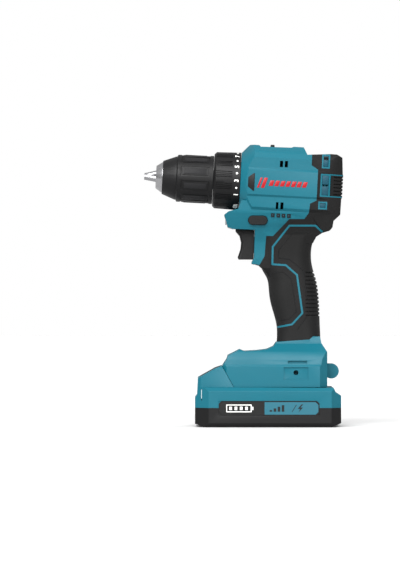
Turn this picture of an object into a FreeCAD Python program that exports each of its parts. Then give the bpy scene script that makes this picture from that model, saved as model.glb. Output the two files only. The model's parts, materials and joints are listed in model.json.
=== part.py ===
"""Cordless drill driver: 10 mm keyless chuck, two-speed planetary gearbox, brushless motor, 20 V slide pack.

Millimetres, +Z up. The origin is the centre of the battery's bottom face. The nose points along -X.
Head pieces are drawn in the barrel's own frame, whose x axis is the spindle axis (positive to the rear),
and are then placed by BARREL, which tips the nose up.
"""
import FreeCAD, Part
import math
import os

from FreeCAD import Placement, Rotation, Vector

# ---- driving dimensions: overall -------------------------------------------------------------------
NOSE_TILT = 3.0                 # degrees, spindle axis above the horizontal
BARREL_FRONT = -21.8            # x of the front face of the housing, on the spindle axis
BARREL_LONG = 82.0              # front face to the rear of the bumper
NECK_TOP = 173.4                # height of the barrel's lower parting line
GRIP_HALF = 16.5                # half width of the grip
FOOT_HALF = 31.0                # half width of the foot
SHELL = 2.2                     # hard shell wall
SKIN = 1.8                      # soft overmould skin
WALL = SHELL + SKIN             # outer surface to cavity
RUN = 0.3                       # clearance between moving neighbours
FIT = 0.02                      # radial running fit of shafts

# ---- driving dimensions: gearbox and motor ---------------------------------------------------------
MODULE = 0.8
SUN_1_TEETH, PLANET_1_TEETH = 12, 15
SUN_2_TEETH, PLANET_2_TEETH = 18, 12
RING_TEETH = 42
PLANETS = 3
ADDENDUM, DEDENDUM = 0.8 * MODULE, 1.0 * MODULE
TIP_HALF, ROOT_HALF = 0.33 * MODULE, 0.87 * MODULE      # half widths of an outer tooth
GAP_TIP_HALF, GAP_ROOT_HALF = 0.5 * MODULE, 1.06 * MODULE   # half widths of a ring gear's tooth space
CASE_WALL = 2.0
RING_GEAR_WALL = 1.8            # ring gear outside its tooth roots
RING_GEAR_ROOM = 0.2            # ring gear to case
RING_OUTER = MODULE * RING_TEETH / 2 + DEDENDUM + RING_GEAR_WALL
CASE_R = RING_OUTER + RING_GEAR_ROOM + CASE_WALL
CASE_FRONT = 2.0                # front wall of the gear case, behind the torque ring
CASE_WEB = 3.0
GEAR_WIDE = 6.0                 # face width of the planets
PLATE = 2.5                     # thickness of a carrier plate
GEAR_GAP = 0.6                  # axial gap between gears and plates
SHIFT_TRAVEL = 3.0              # travel of the shifting ring gear
SHAFT_R = 2.5                   # motor shaft
PLANET_PIN_R = 1.75
STATOR_R = 21.0
STATOR_LONG = 16.0
ROTOR_R = 11.0
FAN_R = 19.0
MOTOR_BEARING_R, MOTOR_BEARING_WIDE = 8.0, 4.0
MOTOR_GAP = 6.0                 # gearbox plate to stator, for the front windings
STATOR_SLOTS = 6

# ---- barrel, from what it holds --------------------------------------------------------------------
CASE_ROOM = 2.4                 # widest piece inside to the inner wall
BARREL_HALF = max(CASE_R, STATOR_R) + CASE_ROOM + WALL
BARREL_TOP = BARREL_HALF + 1.5  # roof above the spindle axis
BARREL_LOW = CASE_R + 0.4       # lower parting line below the spindle axis
BARREL_ORIGIN = Vector(BARREL_FRONT, 0, NECK_TOP + BARREL_LOW)     # spindle axis at the front face

# ---- driving dimensions: chuck and clutch ----------------------------------------------------------
SPINDLE_R = 6.0
THREAD_R = 5.0                  # spindle thread in the chuck
BEARING_R = 12.0
BEARING_WIDE = 6.0
NOSE_R = 14.0                   # gear case nose tube
NOSE_FRONT = -19.0
RING_FRONT, RING_REAR = -21.6, -0.3   # torque ring
RING_R = CASE_R + 1.5
COLLAR_R = RING_R + 0.2         # round front opening of the housing
JAW_TILT = 16.0                 # degrees
JAW_R = 2.7
JAW_LONG = 31.0
JAW_TIP = -76.9                 # where the closed jaws end
JAW_TIP_AXIS = -0.2             # a jaw's own axis above the spindle axis at its closed tip
JAW_BITE = 0.75                 # radius of the hole between the closed jaws
JAW_TRAVEL = 15.5               # along a jaw's own axis, up to a 10 mm shank
CHUCK_NOSE = -67.5
CHUCK_REAR = -24.0
CHUCK_BODY_R = 16.0
CHUCK_BORE = 5.2
NUT_FRONT, NUT_REAR = -52.0, -47.0
SLEEVE_FRONT, SLEEVE_REAR = -62.3, RING_FRONT - RUN
SLEEVE_R = 19.3
SLEEVE_PADS = 10

# ---- driving dimensions: controls, fasteners and battery -------------------------------------------
TRIGGER_HALF = 9.0
TRIGGER_TRAVEL = 6.0
LEVER_TRAVEL, LEVER_ARM = 2.5, 2.0      # slide to each side, and half width of the arm to the switch
SELECTOR_TRAVEL = 8.0
BUTTON_TRAVEL = 3.0
SCREW_R, SCREW_HEAD_R, SCREW_HEAD = 1.5, 3.0, 2.2
BOSS_R = 3.4
SCREW_TOP_HEAD, SCREW_TOP_BODY, SCREW_TOP_FOOT = 16.0, 11.0, 23.0      # y of the screw heads
CLIP_SCREW_R, CLIP_SCREW_DEEP = 2.0, 9.0    # M4 belt-clip holes
CELL_R, CELL_LONG, CELLS = 9.2, 65.0, 5
CELL_PITCH = 2 * CELL_R + 0.4
PACK_WALL = 2.0
CELL_LIFT = 0.6                 # cells above the tray's floor
CELL_Z = PACK_WALL + CELL_LIFT + CELL_R
CELL_CROWN = CELL_Z + CELL_R + 1.0      # top of the cell frames, where the board lies
PACK_HALF = CELL_LONG / 2 + 4.5         # half width of the battery
PACK_REAR = CELLS * CELL_PITCH / 2 + 11.0
PACK_FRONT = -PACK_REAR
PACK_TOP = CELL_CROWN + 9.7     # deck of the battery, where the foot sits
PACK_SPLIT = 15.2               # parting line between battery tray and cover
RAIL_HALF, RAIL_NECK, RAIL_HIGH, RAIL_LIP = 20.0, 16.5, 8.0, 4.0
RAIL_REAR = 40.0

BARREL = Placement(BARREL_ORIGIN, Rotation(Vector(0, 1, 0), NOSE_TILT))
X_AXIS, Y_AXIS, Z_AXIS = Vector(1, 0, 0), Vector(0, 1, 0), Vector(0, 0, 1)


# ---- helpers ---------------------------------------------------------------------------------------
def box(x0, x1, y0, y1, z0, z1):
    """A box between two corners."""
    return Part.makeBox(x1 - x0, y1 - y0, z1 - z0, Vector(x0, y0, z0))


def rod(x0, x1, radius, y=0.0, z=0.0):
    """A cylinder along x."""
    return Part.makeCylinder(radius, x1 - x0, Vector(x0, y, z), X_AXIS)


def cross_rod(y0, y1, radius, x, z):
    """A cylinder along y."""
    return Part.makeCylinder(radius, y1 - y0, Vector(x, y0, z), Y_AXIS)


def tube(x0, x1, outer, inner):
    """A hollow cylinder along x."""
    return rod(x0, x1, outer).cut(rod(x0 - 1, x1 + 1, inner))


def closed_face(points):
    """A flat face inside a closed run of corner points."""
    return Part.Face(Part.makePolygon(points + points[:1]))


def inset(points, distance):
    """The same outline with every side moved inward by distance."""
    if not distance:
        return points
    area = sum(a[0] * b[1] - b[0] * a[1] for a, b in zip(points, points[1:] + points[:1]))
    side = distance if area > 0 else -distance
    moved = []
    for i, (x, y) in enumerate(points):
        lines = []
        for (ax, ay), (bx, by) in ((points[i - 1], (x, y)), ((x, y), points[(i + 1) % len(points)])):
            length = math.hypot(bx - ax, by - ay)
            nx, ny = -(by - ay) / length, (bx - ax) / length
            lines.append((nx, ny, nx * ax + ny * ay + side))
        (a1, b1, c1), (a2, b2, c2) = lines
        det = a1 * b2 - a2 * b1
        if abs(det) < 1e-6:
            moved.append((x + a1 * side, y + b1 * side))
        else:
            moved.append(((c1 * b2 - c2 * b1) / det, (a1 * c2 - a2 * c1) / det))
    return moved


def prism(outline, half, off=0.0):
    """An (x, z) outline, inset by off, spread to y = +-(half - off)."""
    y = half - off
    face = closed_face([Vector(x, -y, z) for x, z in inset(outline, off)])
    return face.extrude(Vector(0, 2 * y, 0))


def slab(outline, y0, y1):
    """An (x, z) outline between two y planes."""
    return closed_face([Vector(x, y0, z) for x, z in outline]).extrude(Vector(0, y1 - y0, 0))


def along_x(half_section, x0, x1, off=0.0):
    """A (y, z) section, given for y > 0 from top to bottom and mirrored, spread along x."""
    section = half_section + [(-y, z) for y, z in reversed(half_section)]
    return closed_face([Vector(x0, y, z) for y, z in inset(section, off)]).extrude(Vector(x1 - x0, 0, 0))


def along_z(half_plan, z0, z1, off=0.0):
    """An (x, y) plan, given for y > 0 and mirrored, spread along z."""
    plan = half_plan + [(x, -y) for x, y in reversed(half_plan)]
    return closed_face([Vector(x, y, z0) for x, y in inset(plan, off)]).extrude(Vector(0, 0, z1 - z0))


def turned(profile):
    """An (x, radius) outline turned round the x axis."""
    return closed_face([Vector(x, 0, r) for x, r in profile]).revolve(Vector(0, 0, 0), X_AXIS, 360)


def spun(shape, angle):
    """A copy turned round the x axis."""
    copy = shape.copy()
    copy.rotate(Vector(0, 0, 0), X_AXIS, angle)
    return copy


def around(shape, count, start=0.0):
    """Copies of one shape, spaced evenly round the x axis."""
    return [spun(shape, start + 360 * k / count) for k in range(count)]


def mirrored(shape):
    """The same shape on the other side of the Y = 0 plane."""
    return shape.mirror(Vector(0, 0, 0), Y_AXIS)


def both_sides(shapes):
    """Each shape and its mirror image."""
    return shapes + [mirrored(s) for s in shapes]


def strip(points, wide, y0, y1):
    """A line of constant width along (x, z) points, between two y planes."""
    pieces = []
    for (ax, az), (bx, bz) in zip(points, points[1:]):
        length = math.hypot(bx - ax, bz - az)
        nx, nz = -(bz - az) / length * wide / 2, (bx - ax) / length * wide / 2
        corners = [(ax + nx, az + nz), (bx + nx, bz + nz), (bx - nx, bz - nz), (ax - nx, az - nz)]
        pieces.append(slab(corners, y0, y1))
    joints = [cross_rod(y0, y1, wide / 2, x, z) for x, z in points[1:-1]]
    return pieces[0].multiFuse(pieces[1:] + joints)


def coil_spring(x0, x1, radius, wire, turns, steps=16):
    """A compression spring along x, lofted through round sections of its wire."""
    pitch = (x1 - x0 - 2 * wire) / turns
    sections = []
    for k in range(int(turns * steps) + 1):
        turns_of_wire = [math.pi * i / 4 for i in range(9)]
        section = Part.makePolygon(
            [Vector(wire * math.cos(a), radius + wire * math.sin(a), 0) for a in turns_of_wire])
        section.rotate(Vector(0, 0, 0), X_AXIS, 360.0 * k / steps)
        section.translate(Vector(x0 + wire + pitch * k / steps, 0, 0))
        sections.append(section)
    return Part.makeLoft(sections, True, True)


def in_barrel(shape):
    """A shape drawn in the barrel's frame, put in its place."""
    placed = shape.copy()
    placed.Placement = BARREL.multiply(placed.Placement)
    return placed


# ---- outer form ------------------------------------------------------------------------------------
ROOF_FRONT, ROOF_REAR = 14.8, 39.3       # recess of the gear selector
HEAD_SIDE = [
    (0, COLLAR_R - 0.5), (6, BARREL_TOP), (13.5, BARREL_TOP), (ROOF_FRONT, BARREL_TOP - 1.3),
    (ROOF_REAR, BARREL_TOP - 0.8), (41, BARREL_TOP), (BARREL_LONG - 33, BARREL_TOP),
    (BARREL_LONG - 30, BARREL_TOP - 6), (BARREL_LONG - 11.2, BARREL_TOP - 4.5),
    (BARREL_LONG - 6.5, BARREL_TOP - 4.6), (BARREL_LONG - 2, BARREL_TOP - 7),
    (BARREL_LONG - 1, 9.5), (BARREL_LONG - 0.6, 8.5), (BARREL_LONG - 0.6, -9), (BARREL_LONG - 1.2, -10.3),
    (BARREL_LONG - 1.4, -BARREL_LOW - 0.8), (BARREL_LONG - 6.5, -BARREL_LOW - 6),
    (BARREL_LONG - 7, -BARREL_LOW - 11), (BARREL_LONG - 9, -BARREL_LOW - 13.7),
    (BARREL_LONG - 15, -BARREL_LOW - 14.4), (BARREL_LONG - 24, -BARREL_LOW - 3), (4, -BARREL_LOW),
    (0, -BARREL_LOW),
]
HEAD_SECTION = [
    (BARREL_HALF - 15, BARREL_TOP + 0.5), (BARREL_HALF - 5, BARREL_TOP - 5),
    (BARREL_HALF - 1.2, BARREL_TOP - 10), (BARREL_HALF - 1.2, 11), (BARREL_HALF, 9.5), (BARREL_HALF, -10),
    (BARREL_HALF - 1.4, -11.5), (BARREL_HALF - 1.4, -BARREL_LOW + 2), (BARREL_HALF - 4, -BARREL_LOW - 1),
    (BARREL_HALF - 8, -BARREL_LOW - 16),
]
HEAD_PLAN = [
    (-1, BARREL_HALF + 2), (BARREL_LONG - 28, BARREL_HALF + 2), (BARREL_LONG - 21, BARREL_HALF),
    (BARREL_LONG - 11, BARREL_HALF - 1.5),
    (BARREL_LONG - 3, BARREL_HALF - 5.5), (BARREL_LONG, BARREL_HALF - 9),
]
NECK_SIDE = [
    (-34.6, 168.6), (-31.3, 171.2), (-23.6, 173.3), (-21, 180), (40, 178), (52.2, 166), (51.4, 158.4),
    (49.3, 155.9), (43.6, 154.2), (38.6, 151), (36, 146), (-10.6, 146), (-10.2, 156.6), (-27.9, 157.4),
    (-31.8, 158.6),
]
NECK_SECTION = [
    (BARREL_HALF - 3.4, 182), (BARREL_HALF - 3.4, 170), (BARREL_HALF - 7.5, 160), (GRIP_HALF - 0.6, 149),
    (GRIP_HALF - 3.5, 140),
]
COLUMN_SIDE = [
    (-10.2, 156.8), (-11, 134), (-12.7, 131), (-12.7, 129.4), (-7.1, 128.1), (-3, 124.4), (2, 118), (10, 118),
    (10, 156.8),
]
GRIP_STATIONS = [       # height, front x, back x, half width, corner radius
    (156.0, -7.0, 44.0, GRIP_HALF + 1.0, 11.0), (147.0, -6.6, 36.2, GRIP_HALF + 0.5, 11.5),
    (137.0, -6.4, 34.6, GRIP_HALF, 12.0), (127.0, -5.2, 35.7, GRIP_HALF, 13.0),
    (118.0, -0.5, 38.4, GRIP_HALF, 13.5), (105.0, 1.4, 40.6, GRIP_HALF, 13.5),
    (90.0, 4.9, 41.4, GRIP_HALF, 13.0), (78.0, 7.5, 41.8, GRIP_HALF + 0.2, 12.0),
    (64.0, 7.5, 42.6, GRIP_HALF + 1.2, 10.0),
]
FOOT_JOINT = [(-36.2, 48.2), (-27.0, PACK_TOP)]     # slanted joint between foot and battery hump
FOOT_SIDE = [
    FOOT_JOINT[0], FOOT_JOINT[1], (47.1, PACK_TOP), (47.1, 59.4), (42.7, 66.3), (41.6, 71.5), (35.8, 71.5),
    (33.2, 69), (6.8, 67.2), (4.6, 63.8), (-0.6, 61.4), (-7.6, 60.5), (-18.8, 59.8), (-22.3, 61.3),
    (-31.8, 56.4), (-32.7, 53.4),
]
FOOT_SECTION = [
    (GRIP_HALF, 72), (GRIP_HALF + 1, 66), (FOOT_HALF - 5, 59.5), (FOOT_HALF - 2, 54), (FOOT_HALF - 1.2, 49.5),
    (FOOT_HALF, 48), (FOOT_HALF, PACK_TOP - 1),
]
FOOT_PLAN = [(-40, FOOT_HALF - 7), (-33, FOOT_HALF), (41.1, FOOT_HALF), (48, FOOT_HALF - 7)]
LUG = (48.5, 43.9, 6.0)         # centre x, centre z and radius of the strap lug
LUG_HALF = 6.0
LUG_BORE = 1.9


def head_form(off=0.0):
    """The barrel's outer form, inset by off, in the barrel's frame."""
    form = prism(HEAD_SIDE, BARREL_HALF + 3, off)
    form = form.common(along_x(HEAD_SECTION, -2, BARREL_LONG + 2, off))
    form = form.common(along_z(HEAD_PLAN, -60, 60, off))
    reach = 24.0
    collar = turned([(-2, 0), (-2, COLLAR_R - off), (0, COLLAR_R - off), (reach, COLLAR_R + reach - off),
                     (BARREL_LONG + 2, COLLAR_R + reach - off), (BARREL_LONG + 2, 0)])
    return form.common(collar)


def neck_form(off=0.0):
    """The part between barrel and grip, with the lamp's chin."""
    return prism(NECK_SIDE, BARREL_HALF, off).common(along_x(NECK_SECTION, -60, 70, off))


def column_form(off=0.0):
    """The block behind the trigger."""
    half = GRIP_HALF - 1.5
    section = [(half - 3, 158), (half, 155), (half, 126), (half - 6, 116)]
    return prism(COLUMN_SIDE, half + 1, off).common(along_x(section, -20, 20, off))


def grip_form(off=0.0):
    """The grip, through rounded sections."""
    wires = []
    for z, front, back, half, corner in GRIP_STATIONS:
        x0, x1, y = front + off, back - off, half - off
        r = corner - off
        diag = r * (1 - math.sqrt(0.5))
        corners = [(x0, -y, 1, 1), (x1, -y, -1, 1), (x1, y, -1, -1), (x0, y, 1, -1)]
        edges = []
        starts = []
        for i, (cx, cy, sx, sy) in enumerate(corners):
            along_first = i % 2 == 0
            a = Vector(cx, cy + sy * r, z) if along_first else Vector(cx + sx * r, cy, z)
            b = Vector(cx + sx * r, cy, z) if along_first else Vector(cx, cy + sy * r, z)
            starts.append((a, Vector(cx + sx * diag, cy + sy * diag, z), b))
        for i, (a, mid, b) in enumerate(starts):
            edges.append(Part.Arc(a, mid, b).toShape())
            edges.append(Part.makeLine(b, starts[(i + 1) % 4][0]))
        wires.append(Part.Wire(edges))
    return Part.makeLoft(wires, True, False)


def foot_form(off=0.0):
    """The foot that carries the battery."""
    form = prism(FOOT_SIDE, FOOT_HALF + 2, off).common(along_x(FOOT_SECTION, -60, 60, off))
    return form.common(along_z(FOOT_PLAN, 20, 80, off))


# ---- regions of the soft overmould and its hard accents -------------------------------------------
REAR_BLACK = [      # black rear of the barrel, in the barrel's frame
    (BARREL_LONG - 26.3, 50), (BARREL_LONG - 26.3, 15.2), (BARREL_LONG - 21, 11.9),
    (BARREL_LONG - 21, -12.6), (BARREL_LONG - 26, -15.3), (BARREL_LONG - 26.5, -22.7),
    (BARREL_LONG - 29.9, -27.8), (BARREL_LONG - 34, -60), (BARREL_LONG + 13, -60), (BARREL_LONG + 13, 50),
]
GRIP_BLACK = [      # black of the neck's back and the grip
    (60, 165), (17, 165), (4.1, 151.6), (-1.3, 151.6), (-2.6, 135.5), (-6.6, 128.6), (-20, 130.5),
    (-20, 67.4), (6.8, 67.4), (33.2, 69.2), (35.8, 71.7), (60, 71.7),
]
GRIP_LINE = [       # hard accent line round the grip's two fields
    (43.5, 154.6), (37.8, 159.8), (17.1, 159.8), (3.9, 143), (3.6, 129.1), (14.3, 128.4), (23.2, 120.6),
    (27.5, 90.2), (19.3, 81.3), (6.0, 78.6),
]
ACCENT_WIDE = 1.5
REAR_FRAMES = [     # hard rims on the black rear: u0, u1, v0, v1
    (BARREL_LONG - 18.2, BARREL_LONG - 11.8, 13.2, BARREL_TOP - 4.9),
    (BARREL_LONG - 18.6, BARREL_LONG - 10.8, -9.4, 8.8),
    (BARREL_LONG - 19.4, BARREL_LONG - 12.4, -19.4, -13.2),
]
RIM = 1.2
PAD_BOX = (BARREL_LONG - 10.5, BARREL_LONG + 1.0, -8.5, 7.9)       # rear bumper: u0, u1, v0, v1
PANE_DEEP = 1.3                 # windows in the rims, and the small squares under the vents
PAD_RIBS = 6
PAD_LINE = 0.9                  # hard lines above and below the bumper
GRIP_RIBS, GRIP_RIB_LOW, GRIP_RIB_PITCH = 12, 88.4, 3.1      # grooves on the back of the grip
UPPER_VENTS = [(30.5, 33.0), (34.4, 36.9)]
LOWER_VENTS = [(29.0, 31.0), (32.6, 35.0)]
SQUARE_VENTS = [27.0, 31.4, 35.5, 39.8]
SELECTOR_REST, SELECTOR_WIDE = 22.0, 4.4
SELECTOR_HALF = 7.0             # half width of the roof opening, which runs from SLOT_FRONT to SLOT_REAR
SLOT_FRONT, SLOT_REAR = SELECTOR_REST - 5.5, SELECTOR_REST + SELECTOR_WIDE + SELECTOR_TRAVEL + 3.1
LAMP = (-33.2, 160.6, 167.8, 7.0)       # front x, z0, z1 and half width of the lamp opening
LEVER_BOX = (-15.6, -0.4, 160.6, 167.6)  # direction lever: x0, x1, z0, z1
CLIP_SLOT = (15.7, 31.0, 50.3, 52.5)
CLIP_HOLE = (22.1, 43.1)
CLIP_POCKET = (12.4, 31.9, 37.4, 47.3)
CASE_REAR = 34.3                        # end of the gear case, where the gearbox plate closes it
PLATE_WIDE = 2.4
STATOR_FRONT = CASE_REAR + PLATE_WIDE + MOTOR_GAP
STATOR_REAR = STATOR_FRONT + STATOR_LONG
FAN_FRONT, FAN_WIDE = STATOR_REAR + 5.0, 5.0
REAR_BEARING = FAN_FRONT + FAN_WIDE + 1.2
HEAD_BOSSES = [
    (9.5, BARREL_TOP - 3.5), (45.0, BARREL_TOP - 3.7), (BARREL_LONG - 7.5, BARREL_TOP - 10.9),
    (BARREL_LONG - 7.5, 1.5 - BARREL_LOW),
]
BODY_BOSSES = [(-17.5, 171.0), (40.0, 159.0), (16.0, 124.0), (30.0, 84.0), (-23.0, 53.6), (38.0, 50.0)]
AIR_SLOT = 0.9                  # slots that let the motor's air out
RIB_PLACES = [4.5, 13.0, 27.0, STATOR_FRONT + 2, STATOR_REAR - 3]
BLOCK_TOP = PACK_TOP + RAIL_HIGH        # top of the battery's rail block
PACK_RUN = 0.35                         # clearance of the battery in the foot
BLADES = [-12.0, -4.0, 4.0, 12.0]
BLADE_HALF = 0.4
BUTTON_HALF = 11.0
CATCH = (-25.0, -22.0, 5.0, BLOCK_TOP + 2.0)     # latch catch: x0, x1, half width and top


def rail_section(off):
    """Half section of the T-shaped rail block, grown by off."""
    return [
        (RAIL_HALF + off, BLOCK_TOP + off), (RAIL_HALF + off, BLOCK_TOP - RAIL_LIP - off),
        (RAIL_NECK + off, BLOCK_TOP - RAIL_LIP - off), (RAIL_NECK + off, PACK_TOP - 5),
    ]


def cavity():
    """The hollow inside the shells, with ribs that carry gearbox and motor."""
    head = head_form(WALL)
    ribs = []
    for place in RIB_PLACES:
        bore = CASE_R if place < CASE_REAR else STATOR_R
        ribs.append(box(place, place + 1.6, -40, 40, -40, 40).cut(rod(place - 1, place + 3, bore + FIT)))
    bearing_wall = box(REAR_BEARING, REAR_BEARING + 5, -40, 40, -40, 40)
    bearing_wall = bearing_wall.cut(rod(REAR_BEARING - 1, REAR_BEARING + 6, MOTOR_BEARING_R))
    head = head.cut(Part.makeCompound(ribs + [bearing_wall]))
    head = head.fuse(rod(-1, WALL + 1, CASE_R + FIT))
    head = in_barrel(head)
    neck = neck_form(WALL).cut(in_barrel(box(-60, 90, -40, 40, -BARREL_LOW + 1, 40)))
    grip = grip_form(WALL).common(box(-20, 60, -40, 40, 68, 152))
    foot = foot_form(WALL)
    return head.multiFuse([neck, grip, foot])


def boss_columns():
    """The screw columns across both shells, solid."""
    head = [in_barrel(cross_rod(-BARREL_HALF, BARREL_HALF, BOSS_R, u, v)) for u, v in HEAD_BOSSES]
    body = [cross_rod(-FOOT_HALF, FOOT_HALF, BOSS_R, x, z) for x, z in BODY_BOSSES]
    x, z = CLIP_HOLE
    inner = FOOT_HALF - CLIP_SCREW_DEEP - 1.4
    clips = both_sides([cross_rod(inner, FOOT_HALF - 1, CLIP_SCREW_R + 2.5, x, z)])
    return head + body + clips


def openings():
    """Everything that is cut through the shells, and the places of moving parts."""
    cuts = []
    for u0, u1 in UPPER_VENTS:
        cuts += [in_barrel(box(u0, u1, -40, 40, 12.5, 17.5))]
    for u0, u1 in LOWER_VENTS:
        cuts += [in_barrel(box(u0, u1, -40, 40, -21.0, -15.5))]
    low, side = -BARREL_LOW - 3.9, NECK_SECTION[0][0] - PANE_DEEP
    for place in SQUARE_VENTS:
        square = in_barrel(box(place - 1.5, place + 1.5, side, 40, low - 1.5, low + 1.5))
        cuts += both_sides([square])
    panes = Part.makeCompound([box(u0, u1, -40, 40, v0, v1) for u0, u1, v0, v1 in panes_of_rims()])
    cuts += [in_barrel(panes.cut(head_form(PANE_DEEP)))]
    u0, u1, v0, v1 = REAR_FRAMES[1]
    cuts += [in_barrel(box(u, u + AIR_SLOT, -40, 40, v0 + 2.4, v1 - 2.4)) for u in (u0 + 2.3, u0 + 4.6)]
    cuts += [in_barrel(box(SLOT_FRONT, SLOT_REAR, -SELECTOR_HALF, SELECTOR_HALF, CASE_R - 1, 60))]
    x, z0, z1, half = LAMP
    cuts += [box(x - 5, x + 6, -half, half, z0, z1)]
    cuts += [lever_pill(BARREL_HALF, RUN), trigger_pocket()]
    stem = LEVER_TRAVEL + LEVER_ARM + 2 * RUN
    cuts += [box(-7.4, -2.6, -stem, stem, 154, LEVER_BOX[2])]
    x0, x1, z0, z1 = CLIP_SLOT
    cuts += both_sides([box(x0, x1, FOOT_HALF - 3.2, FOOT_HALF + 2, z0, z1)])
    x0, x1, z0, z1 = CLIP_POCKET
    cuts += both_sides([box(x0, x1, FOOT_HALF - 0.8, FOOT_HALF + 2, z0, z1)])
    x, z = CLIP_HOLE
    cuts += both_sides([cross_rod(FOOT_HALF - CLIP_SCREW_DEEP, FOOT_HALF + 2, CLIP_SCREW_R, x, z)])
    x, z = LUG[:2]
    cuts += [Part.makeCylinder(LUG_BORE, 40, Vector(x + 3.2, 0, z - 20), Z_AXIS)]
    cuts += [along_x(rail_section(PACK_RUN), -60, RAIL_REAR + 3)]
    x0, x1, half, top = CATCH
    cuts += [box(-60, x1 + 1, -half - RUN, half + RUN, BLOCK_TOP - 1, top + RUN)]
    case_end = CASE_REAR + PLATE_WIDE
    cuts += [in_barrel(rod(-5, case_end + FIT, CASE_R + FIT))]
    cuts += [in_barrel(rod(case_end, FAN_FRONT, STATOR_R + FIT))]
    cuts += [in_barrel(rod(RING_FRONT - 1, 0, RING_R + RUN))]
    return cuts


def panes_of_rims():
    """The windows inside the rims: u0, u1, v0, v1."""
    (a0, a1, a2, a3), (b0, b1, b2, b3), (c0, c1, c2, c3) = REAR_FRAMES
    middle = (b2 + b3) / 2
    return [
        (a0 + RIM, a1 - RIM, a2 + RIM, a3 - 4.6), (a0 + RIM, a1 - RIM, a3 - 3.9, a3 - 3.2),
        (b0 + RIM, b1 - RIM, b2 + RIM, middle - RIM / 2), (b0 + RIM, b1 - RIM, middle + RIM / 2, b3 - RIM),
        (c0 + RIM, c1 - RIM, c2 + RIM, c3 - RIM),
    ]


def lever_pill(half, grow=0.0):
    """The direction lever's rounded bar across the neck, grown by grow."""
    x0, x1, z0, z1 = LEVER_BOX
    radius = (z1 - z0) / 2
    bar = box(x0 + radius, x1 - radius, -half, half, z0 - grow, z1 + grow)
    ends = [cross_rod(-half, half, radius + grow, x, z0 + radius) for x in (x0 + radius, x1 - radius)]
    return bar.multiFuse(ends)


def trigger_pocket():
    """Room for the trigger in the column, open to the front."""
    half = TRIGGER_HALF + RUN
    front = slab([(-40, 158), (-4, 156.3), (-4, 132.4), (-40, 131.6)], -half, half)
    neck = box(-40, -4, -half, half, 150, 156.6)
    stem = box(-5, 12, -half + 2, half - 2, 136, 153)
    return front.common(box(-40, 12, -40, 40, 131.6, 157)).multiFuse([neck, stem])


def shells():
    """Housing halves and overmould halves."""
    head, neck, grip, foot = in_barrel(head_form()), neck_form(), grip_form(), foot_form()
    x, z, radius = LUG
    lug = cross_rod(-LUG_HALF, LUG_HALF, radius, x + 2.4, z)
    lug = lug.fuse(box(x - 8, x + 2, -LUG_HALF, LUG_HALF, z - 5, z + 6))
    outer = head.multiFuse([neck, column_form(), grip, foot, lug]).removeSplitter()
    core = in_barrel(head_form(SKIN)).multiFuse([neck_form(SKIN), grip_form(SKIN)])
    region = in_barrel(slab(REAR_BLACK, -40, 40)).multiFuse([slab(GRIP_BLACK, -40, 40)])
    region = region.cut(box(-60, 80, -40, 40, 0, 67.4))
    soft = outer.common(region).cut(core)
    frames = []
    for u0, u1, v0, v1 in REAR_FRAMES:
        rim = box(u0, u1, 0, 40, v0, v1).cut(box(u0 + RIM, u1 - RIM, -1, 41, v0 + RIM, v1 - RIM))
        frames += [in_barrel(s) for s in both_sides([rim])]
    line = strip(GRIP_LINE, ACCENT_WIDE, 1, 40)
    u0, u1, v0, v1 = PAD_BOX
    for low in (v0 - PAD_LINE, v1):
        frames.append(in_barrel(box(u0 - 1, u1 + 1, -40, 40, low, low + PAD_LINE)))
    pad_room = in_barrel(box(u0, u1, -40, 40, v0, v1))
    soft = soft.cut(Part.makeCompound(frames + both_sides([line]) + [pad_room]))
    soft = soft.cut(box(-60, 4, -12, 12, 128, 160))
    ribs = [box(30, 60, -GRIP_HALF, GRIP_HALF, z - 0.5, z + 0.5) for z in
            (GRIP_RIB_LOW + GRIP_RIB_PITCH * k for k in range(GRIP_RIBS))]
    soft = soft.cut(Part.makeCompound(ribs).cut(grip_form(0.8)))
    pad = outer.common(pad_room).cut(in_barrel(head_form(SKIN + 0.6)))
    grooves = []
    for k in range(PAD_RIBS):
        v = v0 + (v1 - v0) * (k + 0.5) / PAD_RIBS
        grooves.append(in_barrel(box(u0 + 2.5, u1, -40, 40, v - 0.45, v + 0.45)))
    ribbed = pad.cut(Part.makeCompound(grooves).cut(in_barrel(head_form(1.0))))
    cuts = openings()
    inside = cavity()
    hard = outer.cut(soft).cut(pad)
    bosses = Part.makeCompound(boss_columns()).common(outer)
    hard = hard.cut(inside).multiFuse([bosses.common(inside).cut(in_barrel(rod(-5, 80, CASE_R + RUN)))])
    shafts = screw_solids(30.0)
    hard = hard.cut(Part.makeCompound(cuts + shafts))
    soft = soft.cut(Part.makeCompound(cuts + shafts))
    ribbed = ribbed.cut(Part.makeCompound(shafts))
    halves = {}
    for name, y0, y1 in (("left", -60, 0), ("right", 0, 60)):
        half = box(-80, 90, y0, y1, 20, 240)
        halves["housing_" + name] = largest(hard.common(half), 40)
        halves["grip_cover_" + name] = largest(soft.common(half), 40)
    halves["rear_pad"] = ribbed
    return halves


def largest(shape, least):
    """The solids of a shape that are bigger than least cubic millimetres."""
    solids = [s for s in shape.Solids if s.Volume > least]
    return solids[0] if len(solids) == 1 else Part.makeCompound(solids)


def screw_solids(reach=0.0):
    """Housing screws, driven from the +Y side; reach lengthens their heads into the driver's holes."""
    solids = []
    for u, v in HEAD_BOSSES:
        solids.append(in_barrel(one_screw(u, v, SCREW_TOP_HEAD, reach)))
    for x, z in BODY_BOSSES:
        solids.append(one_screw(x, z, SCREW_TOP_BODY if z > 60 else SCREW_TOP_FOOT, reach))
    return solids


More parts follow.
